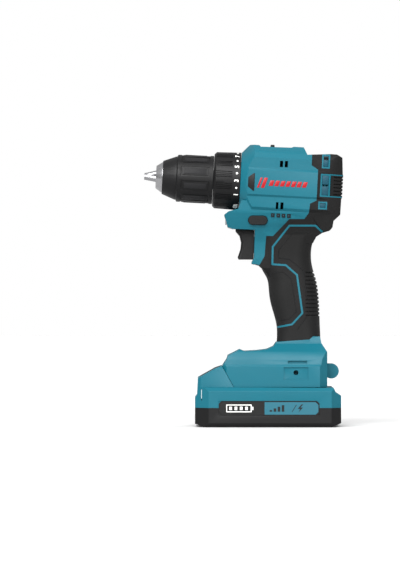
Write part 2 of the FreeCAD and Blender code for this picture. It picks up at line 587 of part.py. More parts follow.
def one_screw(x, z, top, reach):
    """A screw along y, with a cross slot in a head whose outer face is at y = top."""
    body = cross_rod(-10, top - SCREW_HEAD, SCREW_R, x, z)
    screw = body.fuse(cross_rod(top - SCREW_HEAD, top + reach, SCREW_HEAD_R, x, z))
    if reach:
        return screw
    cross = box(x - 2, x + 2, top - 1, top + 1, z - 0.4, z + 0.4)
    return screw.cut(cross.fuse(box(x - 0.4, x + 0.4, top - 1, top + 1, z - 2, z + 2)))


# ---- gears -----------------------------------------------------------------------------------------
def gear_points(teeth, x, phase, root, tip, root_half, tip_half):
    """Corner points of a gear outline in the plane at x; phase is the angle of its first tooth."""
    points = []
    for k in range(teeth):
        middle = math.radians(phase + 360.0 * k / teeth)
        for radius, half in ((root, -root_half), (tip, -tip_half), (tip, tip_half), (root, root_half)):
            angle = middle + half / radius
            points.append(Vector(x, radius * math.cos(angle), radius * math.sin(angle)))
    return points


def gear(teeth, x0, x1, phase=0.0, bore=0.0):
    """An outer gear round the x axis."""
    pitch = MODULE * teeth / 2
    points = gear_points(teeth, x0, phase, pitch - DEDENDUM, pitch + ADDENDUM, ROOT_HALF, TIP_HALF)
    solid = closed_face(points).extrude(Vector(x1 - x0, 0, 0))
    return solid.cut(rod(x0 - 1, x1 + 1, bore)) if bore else solid


def ring_gear(x0, x1, phase, outer):
    """A ring gear with inner teeth."""
    pitch = MODULE * RING_TEETH / 2
    points = gear_points(RING_TEETH, x0 - 1, phase, pitch - ADDENDUM, pitch + DEDENDUM, GAP_ROOT_HALF,
                         GAP_TIP_HALF)
    return rod(x0, x1, outer).cut(closed_face(points).extrude(Vector(x1 - x0 + 2, 0, 0)))


def planet_phase(sun, planet, place):
    """Angle of a planet's first tooth, so that it meshes with a sun whose first tooth is at angle 0."""
    return place + 180 + 360.0 / planet * (0.5 + sun * place / 360.0)


def ring_phase(planet, place, phase):
    """Angle of the ring gear's first tooth space."""
    return place + 360.0 / RING_TEETH * (planet * (phase - place) / 360.0)


def stage(sun, planet, x0, ring0, ring1, outer):
    """Ring gear and planets of one stage, with planets from x0 on."""
    arm = MODULE * (sun + planet) / 2
    gears = []
    for k in range(PLANETS):
        place = 90 + 360.0 * k / PLANETS
        wheel = gear(planet, x0, x0 + GEAR_WIDE, planet_phase(sun, planet, place), PLANET_PIN_R + FIT)
        angle = math.radians(place)
        wheel.translate(Vector(0, arm * math.cos(angle), arm * math.sin(angle)))
        gears.append(wheel)
    ring = ring_gear(ring0, ring1, ring_phase(planet, 90, planet_phase(sun, planet, 90)), outer)
    return ring, gears


def planet_pins(sun, planet, x0, x1):
    """The pins that carry the planets of one stage."""
    arm = MODULE * (sun + planet) / 2
    return around(rod(x0, x1, PLANET_PIN_R, arm), PLANETS, 90)


STAGE_3 = 8.6                                           # planets of the last stage
SPINDLE_PLATE = STAGE_3 - GEAR_GAP - PLATE
CARRIER_2 = STAGE_3 + GEAR_WIDE + GEAR_GAP              # front face of the second carrier's plate
STAGE_2 = CARRIER_2 + PLATE + GEAR_GAP
CARRIER_1 = STAGE_2 + GEAR_WIDE + GEAR_GAP
STAGE_1 = CARRIER_1 + PLATE + GEAR_GAP
SHIFT_RING_OUTER = RING_OUTER - RUN
SHIFT_RING_REAR = CARRIER_1 - 0.5


def gearbox():
    """Gear case, three planetary stages and the spindle."""
    nodes = {}
    case = turned([
        (NOSE_FRONT, BEARING_R), (NOSE_FRONT, NOSE_R), (CASE_FRONT, NOSE_R), (CASE_FRONT, CASE_R),
        (CASE_REAR, CASE_R), (CASE_REAR, CASE_R - CASE_WALL), (CASE_FRONT + CASE_WEB, CASE_R - CASE_WALL),
        (CASE_FRONT + CASE_WEB, BEARING_R - 2.2), (CASE_FRONT, BEARING_R - 2.2), (CASE_FRONT, BEARING_R),
    ])
    pin_place = (NOSE_R + RING_OUTER) / 2 + 0.3
    holes = around(rod(CASE_FRONT - 1, CASE_FRONT + CASE_WEB + 1, 1.6, pin_place), 6)
    fork_slots = [box(STAGE_2 + 1, CASE_REAR - 5.6, CASE_R - 4.5, CASE_R + 1, -2.4, 2.4)]
    fork_slots = both_sides(fork_slots) + [box(19.5, 32.3, -3.6, 3.6, CASE_R - 3, CASE_R + 1)]
    nodes["gear_case"] = case.cut(Part.makeCompound(holes + fork_slots))
    pins = around(rod(CASE_FRONT - 0.6, CASE_FRONT + CASE_WEB + 0.3, 1.5, pin_place), 6)
    washer = tube(CASE_FRONT - 1.6, CASE_FRONT - 0.6, CASE_R - 2.6, NOSE_R + 0.3)
    nodes["clutch_pins"] = Part.makeCompound(pins + [washer])
    front = CASE_FRONT + CASE_WEB + 0.6
    bump_r = MODULE * RING_TEETH / 2 - ADDENDUM + 0.2
    ring_3, planets_3 = stage(SUN_2_TEETH, PLANET_2_TEETH, STAGE_3, front, CARRIER_2, RING_OUTER)
    bumps = [s.common(tube(front - 1, front + 1, RING_OUTER, bump_r)) for s in
             around(rod(front - 0.35, front, 1.2, pin_place), 6, 30)]
    nodes["ring_gear_3"] = ring_3.multiFuse(bumps)
    ring_2, planets_2 = stage(SUN_2_TEETH, PLANET_2_TEETH, STAGE_2, CARRIER_2 + 1.6, SHIFT_RING_REAR,
                              SHIFT_RING_OUTER)
    groove = tube(STAGE_2 + 1.4, STAGE_2 + 3.6, SHIFT_RING_OUTER + 1, SHIFT_RING_OUTER - 1.2)
    nodes["ring_gear_2"] = ring_2.cut(groove)
    ring_1_front = SHIFT_RING_REAR + SHIFT_TRAVEL + RUN
    nodes["ring_gear_1"], planets_1 = stage(SUN_1_TEETH, PLANET_1_TEETH, STAGE_1, ring_1_front, CASE_REAR,
                                            RING_OUTER)
    for number, gears in (("1", planets_1), ("2", planets_2), ("3", planets_3)):
        for letter, wheel in zip("abc", gears):
            nodes["planet_gear_%s%s" % (number, letter)] = wheel
    plate_r = MODULE * RING_TEETH / 2 - ADDENDUM - RUN
    bore = SHAFT_R + 1.0
    nodes["carrier_1"] = rod(CARRIER_1, CARRIER_1 + PLATE, plate_r).multiFuse(
        [gear(SUN_2_TEETH, STAGE_2, CARRIER_1)]
        + planet_pins(SUN_1_TEETH, PLANET_1_TEETH, CARRIER_1, STAGE_1 + GEAR_WIDE - 0.4))
    nodes["carrier_2"] = rod(CARRIER_2, CARRIER_2 + PLATE, plate_r).multiFuse(
        [gear(SUN_2_TEETH, STAGE_3, CARRIER_2)]
        + planet_pins(SUN_2_TEETH, PLANET_2_TEETH, CARRIER_2, STAGE_2 + GEAR_WIDE - 0.2))
    shaft = turned([
        (CHUCK_BACK, 0), (CHUCK_BACK, THREAD_R), (CHUCK_REAR, THREAD_R), (CHUCK_REAR, SPINDLE_R + 1.2),
        (NOSE_FRONT + 0.4, SPINDLE_R + 1.2), (NOSE_FRONT + 0.4, SPINDLE_R - FIT),
        (CASE_FRONT + CASE_WEB - 0.2, SPINDLE_R - FIT), (CASE_FRONT + CASE_WEB - 0.2, SPINDLE_R + 1.5),
        (SPINDLE_PLATE, SPINDLE_R + 1.5), (SPINDLE_PLATE, plate_r), (SPINDLE_PLATE + PLATE, plate_r),
        (SPINDLE_PLATE + PLATE, 0),
    ])
    shaft = shaft.cut(rod(CHUCK_BACK - 1, CHUCK_BACK + 14, SCREW_R + 1))
    nodes["spindle"] = shaft.multiFuse(
        planet_pins(SUN_2_TEETH, PLANET_2_TEETH, SPINDLE_PLATE, STAGE_3 + GEAR_WIDE - 0.2))
    rear = CASE_REAR + PLATE_WIDE
    lip = rear + MOTOR_BEARING_WIDE
    nodes["gearbox_plate"] = turned([
        (CASE_REAR, bore + 4), (CASE_REAR, CASE_R), (rear, CASE_R), (rear, MOTOR_BEARING_R + 1.6),
        (lip, MOTOR_BEARING_R + 1.6), (lip, MOTOR_BEARING_R), (rear, MOTOR_BEARING_R), (rear, bore + 4),
    ])
    return nodes


CHUCK_BACK = -37.5      # front end of the spindle inside the chuck


def ball_bearing(x0, wide, outer, inner, balls=8):
    """Outer ring, inner ring and balls of a ball bearing along x."""
    step = (outer - inner) / 6
    middle = (outer + inner) / 2
    ball = Part.makeSphere(step * 0.95, Vector(x0 + wide / 2, middle, 0))
    rings = [tube(x0, x0 + wide, outer, outer - 1.9 * step), tube(x0, x0 + wide, inner + 1.9 * step, inner)]
    return rings + around(ball, balls)


# ---- motor -----------------------------------------------------------------------------------------
def motor():
    """Stator, windings, rotor, shaft, fan and bearings of the motor."""
    nodes = {}
    yoke = tube(STATOR_FRONT, STATOR_REAR, STATOR_R, STATOR_R - 3.2)
    tooth_front = ROTOR_R + 0.5
    tooth = box(STATOR_FRONT, STATOR_REAR, tooth_front + 0.6, STATOR_R - 3, -2.4, 2.4)
    shoe = tube(STATOR_FRONT, STATOR_REAR, tooth_front + 1.6, tooth_front)
    gaps = around(box(STATOR_FRONT - 1, STATOR_REAR + 1, 5, STATOR_R - 4, -1.0, 1.0), STATOR_SLOTS,
                  180 / STATOR_SLOTS)
    nodes["motor_stator"] = yoke.multiFuse([shoe.cut(Part.makeCompound(gaps))] + around(tooth, STATOR_SLOTS))
    over = 3.4
    coil = box(STATOR_FRONT - over, STATOR_REAR + over, tooth_front + 2.2, STATOR_R - 4.2, -4.4, 4.4)
    coil = coil.cut(box(STATOR_FRONT, STATOR_REAR, 0, STATOR_R, -2.4, 2.4))
    edges = [e for e in coil.Edges if abs(e.tangentAt(e.FirstParameter).y) > 0.99 and e.BoundBox.ZLength < 0.1
             and abs(abs(e.BoundBox.ZMax) - 4.4) < 0.01]
    coil = coil.makeFillet(1.8, edges)
    nodes["motor_windings"] = Part.makeCompound(around(coil, STATOR_SLOTS))
    bearings = []
    for place in (NOSE_FRONT + 1, CASE_FRONT - BEARING_WIDE):
        bearings.append(ball_bearing(place, BEARING_WIDE, BEARING_R, SPINDLE_R))
    for place in (CASE_REAR + PLATE_WIDE, REAR_BEARING):
        bearings.append(ball_bearing(place, MOTOR_BEARING_WIDE, MOTOR_BEARING_R, SHAFT_R, 7))
    nodes["ball_bearings"] = Part.makeCompound([s for group in bearings for s in group])
    r = SHAFT_R - FIT
    shaft = rod(CASE_REAR + 0.2, REAR_BEARING + 4.4, r)
    nodes["motor_shaft"] = shaft.fuse(gear(SUN_1_TEETH, STAGE_1, CASE_REAR + 0.2))
    core = tube(STATOR_FRONT - 1, STATOR_REAR + 1, ROTOR_R - 2, r)
    magnets = tube(STATOR_FRONT, STATOR_REAR, ROTOR_R, ROTOR_R - 2)
    nodes["motor_rotor"] = Part.makeCompound([core, magnets])
    hub = tube(FAN_FRONT, FAN_FRONT + FAN_WIDE, 5.0, r)
    disc = tube(FAN_FRONT, FAN_FRONT + 1.0, FAN_R, r)
    blade = box(FAN_FRONT, FAN_FRONT + FAN_WIDE, 9.0, FAN_R - 0.6, -0.5, 0.5)
    blade.rotate(Vector(0, 14, 0), X_AXIS, 25)
    nodes["fan"] = hub.multiFuse([disc] + around(blade, 11))
    return nodes


# ---- chuck and clutch ------------------------------------------------------------------------------
def jaw_line(x):
    """Height of a jaw's axis above the spindle axis at x."""
    return JAW_TIP_AXIS + (x - JAW_TIP) * math.tan(math.radians(JAW_TILT))


def jaw_rod(x0, x1, radius):
    """A cylinder along a jaw's axis, upward to the rear."""
    tilt = math.radians(JAW_TILT)
    start, along = Vector(x0, 0, jaw_line(x0)), Vector(math.cos(tilt), 0, math.sin(tilt))
    return Part.makeCylinder(radius, (x1 - x0) / math.cos(tilt), start, along)


def chuck():
    """Keyless chuck: body, screw, sleeve, nut and three jaws."""
    nodes = {}
    groove_r = jaw_line(NUT_FRONT) + 0.6
    body = turned([
        (CHUCK_NOSE, CHUCK_BORE), (CHUCK_NOSE, 9.0), (SLEEVE_FRONT - 0.2, SLEEVE_R - 7.0),
        (SLEEVE_FRONT + 3, SLEEVE_R - 7.0), (NUT_FRONT - RUN, CHUCK_BODY_R - 1.6), (NUT_FRONT - RUN, groove_r),
        (NUT_REAR + RUN, groove_r), (NUT_REAR + RUN, CHUCK_BODY_R), (CHUCK_REAR, CHUCK_BODY_R),
        (CHUCK_REAR, THREAD_R), (CHUCK_BACK - 0.5, THREAD_R), (CHUCK_BACK - 0.5, 2.7), (CHUCK_BACK - 3, 2.7),
        (CHUCK_BACK - 3, CHUCK_BORE),
    ])
    bores = around(jaw_rod(JAW_TIP - 2, JAW_TIP + JAW_LONG + JAW_TRAVEL + 1, JAW_R + 0.1), 3, 0)
    nodes["chuck_body"] = body.cut(Part.makeCompound(bores))
    screw = rod(CHUCK_BACK - 5.2, CHUCK_BACK - 3, 4.2).fuse(rod(CHUCK_BACK - 3, CHUCK_BACK + 12, SCREW_R + 1))
    nodes["chuck_screw"] = screw.cut(box(CHUCK_BACK - 6, CHUCK_BACK - 4.2, -0.6, 0.6, -5, 5))
    jaw = jaw_rod(JAW_TIP - 4, JAW_TIP + JAW_LONG, JAW_R).cut(box(-90, JAW_TIP, -9, 9, -9, 9))
    jaw = jaw.cut(rod(-90, -40, JAW_BITE))
    wedge_side = Part.makePolygon([Vector(-90, 0, 0), Vector(-90, 9, 9 / math.sqrt(3)), Vector(-90, 9, -9),
                                   Vector(-90, -9, -9), Vector(-90, -9, 9 / math.sqrt(3)), Vector(-90, 0, 0)])
    jaw = jaw.cut(Part.Face(wedge_side).extrude(Vector(60, 0, 0)).translated(Vector(0, 0, 0.25)))
    for k in range(3):
        nodes["chuck_jaw_%d" % (k + 1)] = spun(jaw, 120 * k)
    clear = JAW_R / math.cos(math.radians(JAW_TILT)) + 0.15
    inner = CHUCK_BODY_R + 0.4
    nodes["chuck_nut"] = turned([
        (NUT_FRONT, jaw_line(NUT_FRONT) + clear), (NUT_FRONT, inner), (NUT_REAR, inner),
        (NUT_REAR, jaw_line(NUT_REAR) + clear),
    ])
    sleeve = turned([
        (SLEEVE_FRONT, SLEEVE_R - 6.7), (SLEEVE_FRONT, SLEEVE_R - 6.0), (-52.0, SLEEVE_R - 2.0),
        (-51.2, SLEEVE_R - 2.0), (-50.4, SLEEVE_R - 0.5), (SLEEVE_REAR, SLEEVE_R), (SLEEVE_REAR, inner),
        (NUT_FRONT, inner), (NUT_FRONT - 0.4, CHUCK_BODY_R - 1.0), (SLEEVE_FRONT + 3, SLEEVE_R - 6.7),
    ])
    pads = around(box(-47.5, -24.7, -4.2, 4.2, SLEEVE_R - 1.1, SLEEVE_R + 2), SLEEVE_PADS, 0)
    panel = box(-46.3, -25.9, -3.2, 3.2, inner + 0.4, SLEEVE_R + 2).common(rod(-60, -20, SLEEVE_R - 0.45))
    nodes["chuck_sleeve"] = sleeve.cut(Part.makeCompound(pads)).multiFuse(around(panel, SLEEVE_PADS))
    return nodes


RING_BAND = 5.6         # smooth rear band that carries the numbers
RING_FLUTES = 15


def clutch():
    """Torque ring, spring seat and clutch spring."""
    nodes = {}
    ring = turned([
        (RING_FRONT, NOSE_R + 0.8), (RING_FRONT, RING_R - 2.4), (RING_FRONT + 1.8, RING_R - 0.6),
        (RING_REAR - RING_BAND, RING_R - 0.2), (RING_REAR, RING_R), (RING_REAR, RING_R - 3.0),
        (NOSE_FRONT + 0.6, RING_R - 3.0), (NOSE_FRONT + 0.6, NOSE_R + 0.8),
    ])
    flutes = []
    for k in range(RING_FLUTES):
        middle = 360.0 / RING_FLUTES * k
        for step in (-5.4, -1.8, 1.8, 5.4):
            flute = box(RING_FRONT + 1.0, RING_REAR - RING_BAND - 0.8, RING_R - 1.1, RING_R + 1, -0.35, 0.35)
            flutes.append(spun(flute, middle + step))
    nodes["torque_ring"] = ring.cut(Part.makeCompound(flutes))
    seat = tube(NOSE_FRONT + 6.0, NOSE_FRONT + 9.5, RING_R - 3.4, NOSE_R + RUN)
    nodes["spring_seat"] = seat
    middle = (NOSE_R + CASE_R - 2.6) / 2 + 0.2
    nodes["clutch_spring"] = coil_spring(NOSE_FRONT + 9.6, CASE_FRONT - 1.7, middle, 1.0, 2.5)
    return nodes


# ---- controls and electrics ------------------------------------------------------------------------
TRIGGER_SIDE = [
    (-25.7, 156.2), (-25.4, 155.0), (-22.4, 151.6), (-21.2, 146.4), (-21.6, 141.5), (-22.6, 138.4),
    (-23.9, 134.6), (-23.0, 132.9), (-11.4, 132.9), (-10.6, 156.2),
]
SWITCH_FRONT = 5.0
SWITCH_REAR = 27.0


def controls():
    """Trigger, direction lever, gear selector, switch and boards."""
    nodes = {}
    face = slab(TRIGGER_SIDE, -TRIGGER_HALF, TRIGGER_HALF)
    front_edges = [e for e in face.Edges if e.Length > 3.2 and abs(e.tangentAt(e.FirstParameter).y) < 0.1
                   and e.BoundBox.XMax < -20.9]
    face = face.makeFillet(2.0, front_edges)
    stem = box(-11.2, -7.0, -TRIGGER_HALF + 3, TRIGGER_HALF - 3, 138.0, 151.0)
    plunger = rod(-7.2, SWITCH_FRONT + 3.4, 2.0, 0, 145.0)
    nodes["trigger"] = face.multiFuse([stem, plunger])
    spring = coil_spring(-6.8, SWITCH_FRONT - 0.1, 3.6, 0.45, 6)
    spring.translate(Vector(0, 0, 145.0))
    nodes["trigger_spring"] = spring
    switch = box(SWITCH_FRONT, SWITCH_REAR, -8.5, 8.5, 134.0, 153.0)
    switch = switch.fuse(box(SWITCH_FRONT + 2, SWITCH_REAR - 8, -6, 6, 153.0, 157.0))
    bore = rod(SWITCH_FRONT - 1, SWITCH_FRONT + 3.4 + TRIGGER_TRAVEL + RUN, 2.0 + 0.15, 0, 145.0)
    nodes["switch_body"] = switch.cut(bore)
    x0, x1, z0, z1 = LEVER_BOX
    arm = box(-7.0, -3.0, -LEVER_ARM, LEVER_ARM, 157.2, z0 + 1)
    nodes["direction_lever"] = lever_pill(BARREL_HALF - 4.6).fuse(arm)
    nodes["gear_selector"] = selector()
    fork_r = CASE_R + 0.5
    ring = tube(STAGE_2 + 1.9, STAGE_2 + 3.1, fork_r + 1.2, fork_r)
    ring = ring.common(box(0, 60, -30, 30, -3, 30))
    toes = both_sides([box(STAGE_2 + 1.9, STAGE_2 + 3.1, SHIFT_RING_OUTER - 0.9, fork_r + 1, -1.2, 1.2)])
    nodes["shift_fork"] = ring.multiFuse(toes)
    nodes["motor_board"] = box(13.0, 31.0, -0.9, 0.9, 90.0, 118.0).multiFuse(
        [cross_rod(0, 5.0, 3.4, x, 96.0) for x in (18.0, 26.0)] + [box(15.0, 29.0, -3.0, 0, 104.0, 114.0)])
    x, z0, z1, lamp_half = LAMP
    nodes["lamp_lens"] = box(x - 0.6, x + 1.4, -lamp_half, lamp_half, z0, z1)
    nodes["lamp_board"] = box(x + 4.4, x + 5.8, -lamp_half, lamp_half, z0, z1).fuse(
        Part.makeCylinder(2.2, 2.8, Vector(x + 1.6, 0, (z0 + z1) / 2), X_AXIS))
    return nodes


def selector():
    """The gear selector's slider, in the barrel's frame, with a knob that stands through the roof."""
    half = SELECTOR_HALF - RUN
    plate_z = BARREL_TOP - WALL - 2.8
    rear = SELECTOR_REST + SELECTOR_WIDE
    return slab([(SELECTOR_REST, plate_z), (rear, plate_z), (rear - 0.6, BARREL_TOP + 1.0),
                 (SELECTOR_REST + 0.8, BARREL_TOP + 1.0)], -half, half)


# ---- battery ---------------------------------------------------------------------------------------
PACK_PLAN = [
    (PACK_FRONT, PACK_HALF - 10.8), (PACK_FRONT + 10.8, PACK_HALF), (PACK_REAR - 7.8, PACK_HALF),
    (PACK_REAR, PACK_HALF - 7.8),
]
TRAY_SIDE = [
    (PACK_FRONT, 2.4), (PACK_FRONT, PACK_SPLIT), (PACK_REAR, PACK_SPLIT), (PACK_REAR, 3.0),
    (PACK_REAR - 7.4, 0), (PACK_FRONT + 6.6, 0), (PACK_FRONT + 4, 1.3),
]
TRAY_SECTION = [(PACK_HALF, PACK_SPLIT), (PACK_HALF, 3.0), (PACK_HALF - 2.5, 0)]
COVER_SIDE = [
    (PACK_FRONT, PACK_SPLIT), (PACK_FRONT, 23.0), (PACK_FRONT + 1.6, 24.8), (PACK_FRONT + 2.3, 38.6),
    (PACK_FRONT + 16.2, 46.4), (FOOT_JOINT[0][0] - RUN, 48.2), (FOOT_JOINT[1][0] - RUN, PACK_TOP),
    (PACK_REAR - 6, PACK_TOP - 0.6), (PACK_REAR - 4.4, 27.5), (PACK_REAR, 24.8), (PACK_REAR, PACK_SPLIT),
]
COVER_SECTION = [
    (FOOT_HALF - 2, 49), (FOOT_HALF, 46), (FOOT_HALF, PACK_TOP), (PACK_HALF - 3, PACK_TOP - 0.4),
    (PACK_HALF, PACK_TOP - 3.2), (PACK_HALF, PACK_SPLIT),
]
LABEL = (-39.2, 40.6, 9.1, 20.8)        # x0, x1, z0, z1
LABEL_THICK = 0.5


def battery():
    """Battery tray, cover, cells, frames, straps, board, latch button and labels."""
    nodes = {}
    x0, x1, z0, z1 = LABEL
    label = slab([(x0 + 2, z0), (x1, z0), (x1, z1 - 2), (x1 - 2, z1), (x0, z1), (x0, z0 + 2)],
                 PACK_HALF - LABEL_THICK, PACK_HALF + 0.05)
    labels = both_sides([label])
    tray = prism(TRAY_SIDE, PACK_HALF + 1).common(along_x(TRAY_SECTION, -70, 70))
    tray = tray.common(along_z(PACK_PLAN, -1, PACK_SPLIT + 1))
    hollow = along_z(inset_plan(PACK_PLAN, PACK_WALL), PACK_WALL, CELL_CROWN)
    crown_half = PACK_HALF - 5.5
    hollow = hollow.fuse(
        box(PACK_FRONT + 5, PACK_REAR - 8, -crown_half, crown_half, CELL_CROWN - 1, PACK_TOP - PACK_WALL))
    nodes["battery_tray"] = tray.cut(Part.makeCompound([hollow] + labels))
    cover = prism(COVER_SIDE, PACK_HALF + 1).common(along_x(COVER_SECTION, -70, 70))
    cover = cover.common(along_z(PACK_PLAN, PACK_SPLIT, 60))
    front = FOOT_JOINT[1][0] - 4
    rail = along_x(rail_section(0), front, RAIL_REAR).common(box(-60, 60, -40, 40, PACK_TOP - 1, 60))
    blade_room = BLADE_HALF + 0.6
    slots = [box(RAIL_REAR - 26, RAIL_REAR + 1, y - blade_room, y + blade_room, PACK_TOP + 0.5, BLOCK_TOP - 1.2)
             for y in BLADES]
    cover = cover.fuse(rail)
    button_room = box(PACK_FRONT + 4.2, BUTTON_BACK + RUN, -BUTTON_HALF - RUN, BUTTON_HALF + RUN, 26.5, 60)
    catch_half, catch_rear = CATCH[2] + RUN, CATCH[1] + RUN
    catch_low = TONGUE_LOW - BUTTON_TRAVEL - RUN
    catch_way = box(BUTTON_BACK - 1, catch_rear, -catch_half, catch_half, catch_low, 60)
    rails_hollow = box(-20, 10, -RAIL_NECK + 3, RAIL_NECK - 3, PACK_TOP - 4, BLOCK_TOP - 2.4)
    gauge = box(PACK_FRONT - 1, PACK_FRONT + 0.6, -12, 12, 17.0, 22.0)
    lights = [box(PACK_FRONT + 0.2, PACK_FRONT + 1.4, y - 1.6, y + 1.6, 18.6, 20.4)
              for y in (-7.5, -2.5, 2.5, 7.5)]
    nodes["battery_cover"] = cover.cut(Part.makeCompound(
        [hollow, button_room, rails_hollow, gauge, catch_way] + slots + labels + lights))
    nodes["charge_lights"] = Part.makeCompound(lights)
    nodes["battery_labels"] = Part.makeCompound(labels)
    places = [CELL_PITCH * (k - (CELLS - 1) / 2) for k in range(CELLS)]
    cells = [cross_rod(-CELL_LONG / 2, CELL_LONG / 2, CELL_R, x, CELL_Z) for x in places]
    nodes["battery_cells"] = Part.makeCompound(cells)
    span = places[-1] + CELL_R + 1.0
    frame = box(-span, span, 16.0, 20.0, PACK_WALL, CELL_CROWN)
    frame = frame.cut(Part.makeCompound([cross_rod(0, 40, CELL_R, x, CELL_Z) for x in places]))
    nodes["cell_frames"] = Part.makeCompound(both_sides([frame]))
    strap_y = CELL_LONG / 2
    straps = []
    for k, (a, b) in enumerate(zip(places, places[1:])):
        side = 1 if k % 2 else -1
        low, high = sorted((side * strap_y, side * (strap_y + 0.3)))
        straps.append(box(a - 3.5, b + 3.5, low, high, CELL_Z - 3.5, CELL_Z + 3.5))
    nodes["cell_straps"] = Part.makeCompound(straps)
    nodes["battery_board"] = box(-30, 44, -13, 13, CELL_CROWN, CELL_CROWN + 1.6)
    nodes["release_button"] = release_button()
    spring = coil_spring(0, 5.4, 2.6, 0.4, 4)
    spring.rotate(Vector(0, 0, 0), Y_AXIS, -90)
    spring.translate(Vector(BUTTON_BACK - 7.5, 0, 26.9))
    nodes["latch_spring"] = spring
    return nodes


BUTTON_BACK = FOOT_JOINT[0][0] - 2.2
TONGUE_LOW = PACK_TOP + 2.5     # underside of the latch tongue


def release_button():
    """Latch button on the sloped front of the battery, pressed down."""
    side = [
        (PACK_FRONT + 4.5, 33.0), (PACK_FRONT + 4.5, 40.1), (PACK_FRONT + 16.4, 46.8), (BUTTON_BACK, 47.8),
        (BUTTON_BACK, 33.0),
    ]
    button = slab(side, -BUTTON_HALF, BUTTON_HALF)
    x0, x1, half, top = CATCH
    catch = slab([(x0, TONGUE_LOW), (x0, top), (x1, top - 1.2), (x1, TONGUE_LOW)], -half, half)
    button = button.multiFuse([box(BUTTON_BACK - 1, x1, -half, half, TONGUE_LOW, TONGUE_LOW + 2), catch])
    slope = math.atan2(7.8, 13.9)
    grooves = []
    for k in range(5):
        step = 3.2 + 2.4 * k
        x, z = PACK_FRONT + 2.6 + step * math.cos(slope), 38.8 + step * math.sin(slope)
        grooves.append(box(x - 0.5, x + 0.5, -BUTTON_HALF + 2, BUTTON_HALF - 2, z - 0.3, z + 3))
    return button.cut(Part.makeCompound(grooves))


def inset_plan(half_plan, distance):
    """A mirrored plan's upper half, inset by distance."""
    plan = half_plan + [(x, -y) for x, y in reversed(half_plan)]
    return inset(plan, distance)[:len(half_plan)]


def terminal_block():
    """The foot's contact block with its four blades."""
    block = box(RAIL_REAR + 1.2, RAIL_REAR + 3.0, -RAIL_NECK, RAIL_NECK, PACK_TOP + 0.6, BLOCK_TOP + 6)
    top = box(6, RAIL_REAR + 3.0, -RAIL_NECK, RAIL_NECK, BLOCK_TOP + PACK_RUN, BLOCK_TOP + 6)
    front, low, high = RAIL_REAR - 18, PACK_TOP + 1.5, BLOCK_TOP - 2.2
    blades = [box(front, RAIL_REAR + 1.5, y - BLADE_HALF, y + BLADE_HALF, low, high) for y in BLADES]
    return block.multiFuse([top] + blades)


def main():
    """Build every node and write its STEP file."""
    os.makedirs("parts", exist_ok=True)
    head = {}
    for group in (gearbox(), motor(), chuck(), clutch()):
        head.update(group)
    nodes = {name: in_barrel(shape) for name, shape in head.items()}
    nodes.update(controls())
    for name in ("gear_selector", "shift_fork"):
        nodes[name] = in_barrel(nodes[name])
    nodes.update(battery())
    nodes["terminal_block"] = terminal_block()
    nodes.update(shells())
    nodes["housing_screws"] = Part.makeCompound(screw_solids())
    for name, shape in nodes.items():
        shape.exportStep(os.path.join("parts", name + ".step"))


if __name__ == "__main__":
    main()
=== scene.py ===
"""The looks of a cordless drill driver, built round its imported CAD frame."""

import json
import logging
import math
from dataclasses import dataclass, field
from enum import Enum
from typing import Any, Iterable, Sequence

import bmesh
import bpy
from mathutils import Matrix, Vector
from mathutils.bvhtree import BVHTree


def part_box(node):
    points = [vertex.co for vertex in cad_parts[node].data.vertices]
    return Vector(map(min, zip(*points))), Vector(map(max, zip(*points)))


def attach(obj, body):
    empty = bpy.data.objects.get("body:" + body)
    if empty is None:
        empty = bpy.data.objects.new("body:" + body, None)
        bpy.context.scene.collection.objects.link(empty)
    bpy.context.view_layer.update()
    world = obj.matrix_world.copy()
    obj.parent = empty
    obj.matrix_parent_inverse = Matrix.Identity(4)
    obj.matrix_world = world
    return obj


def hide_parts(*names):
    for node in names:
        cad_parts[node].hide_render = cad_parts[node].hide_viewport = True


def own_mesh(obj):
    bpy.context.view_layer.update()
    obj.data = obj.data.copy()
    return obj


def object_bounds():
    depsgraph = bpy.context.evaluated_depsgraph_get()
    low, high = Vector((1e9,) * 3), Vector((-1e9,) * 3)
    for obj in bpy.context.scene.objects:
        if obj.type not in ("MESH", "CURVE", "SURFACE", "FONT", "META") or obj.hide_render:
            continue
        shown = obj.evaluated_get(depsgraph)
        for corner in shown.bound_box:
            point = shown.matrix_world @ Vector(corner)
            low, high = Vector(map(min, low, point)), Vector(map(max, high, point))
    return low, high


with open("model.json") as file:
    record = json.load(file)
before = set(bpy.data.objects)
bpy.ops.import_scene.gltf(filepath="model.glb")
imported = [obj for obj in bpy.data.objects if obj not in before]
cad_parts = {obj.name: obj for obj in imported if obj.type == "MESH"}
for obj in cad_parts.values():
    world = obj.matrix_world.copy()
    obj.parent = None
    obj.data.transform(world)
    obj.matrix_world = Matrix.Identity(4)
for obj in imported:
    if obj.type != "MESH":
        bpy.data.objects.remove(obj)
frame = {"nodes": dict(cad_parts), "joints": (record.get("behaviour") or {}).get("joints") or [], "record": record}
CAD_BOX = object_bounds()
LOG = logging.getLogger("drill")
MM = 0.001
WAVES_PER_UNIT = 20     # bands that a wave pattern draws in one unit at a scale of 1
Point = tuple[float, float]
Links = dict[str, Any]
TREES: dict[str, BVHTree] = {}


# ---- materials -------------------------------------------------------------------------------------
def linear(hex_colour: str) -> tuple[float, float, float, float]:
    """Turn an sRGB hex colour into linear red, green, blue and alpha.

    Args:
        hex_colour: six hex digits, such as "2e8aa2".

    Returns:
        The colour as a shader socket takes it.
    """
    channels = [int(hex_colour[i:i + 2], 16) / 255 for i in (0, 2, 4)]
    return tuple(c / 12.92 if c <= 0.04045 else ((c + 0.055) / 1.055) ** 2.4 for c in channels) + (1.0,)


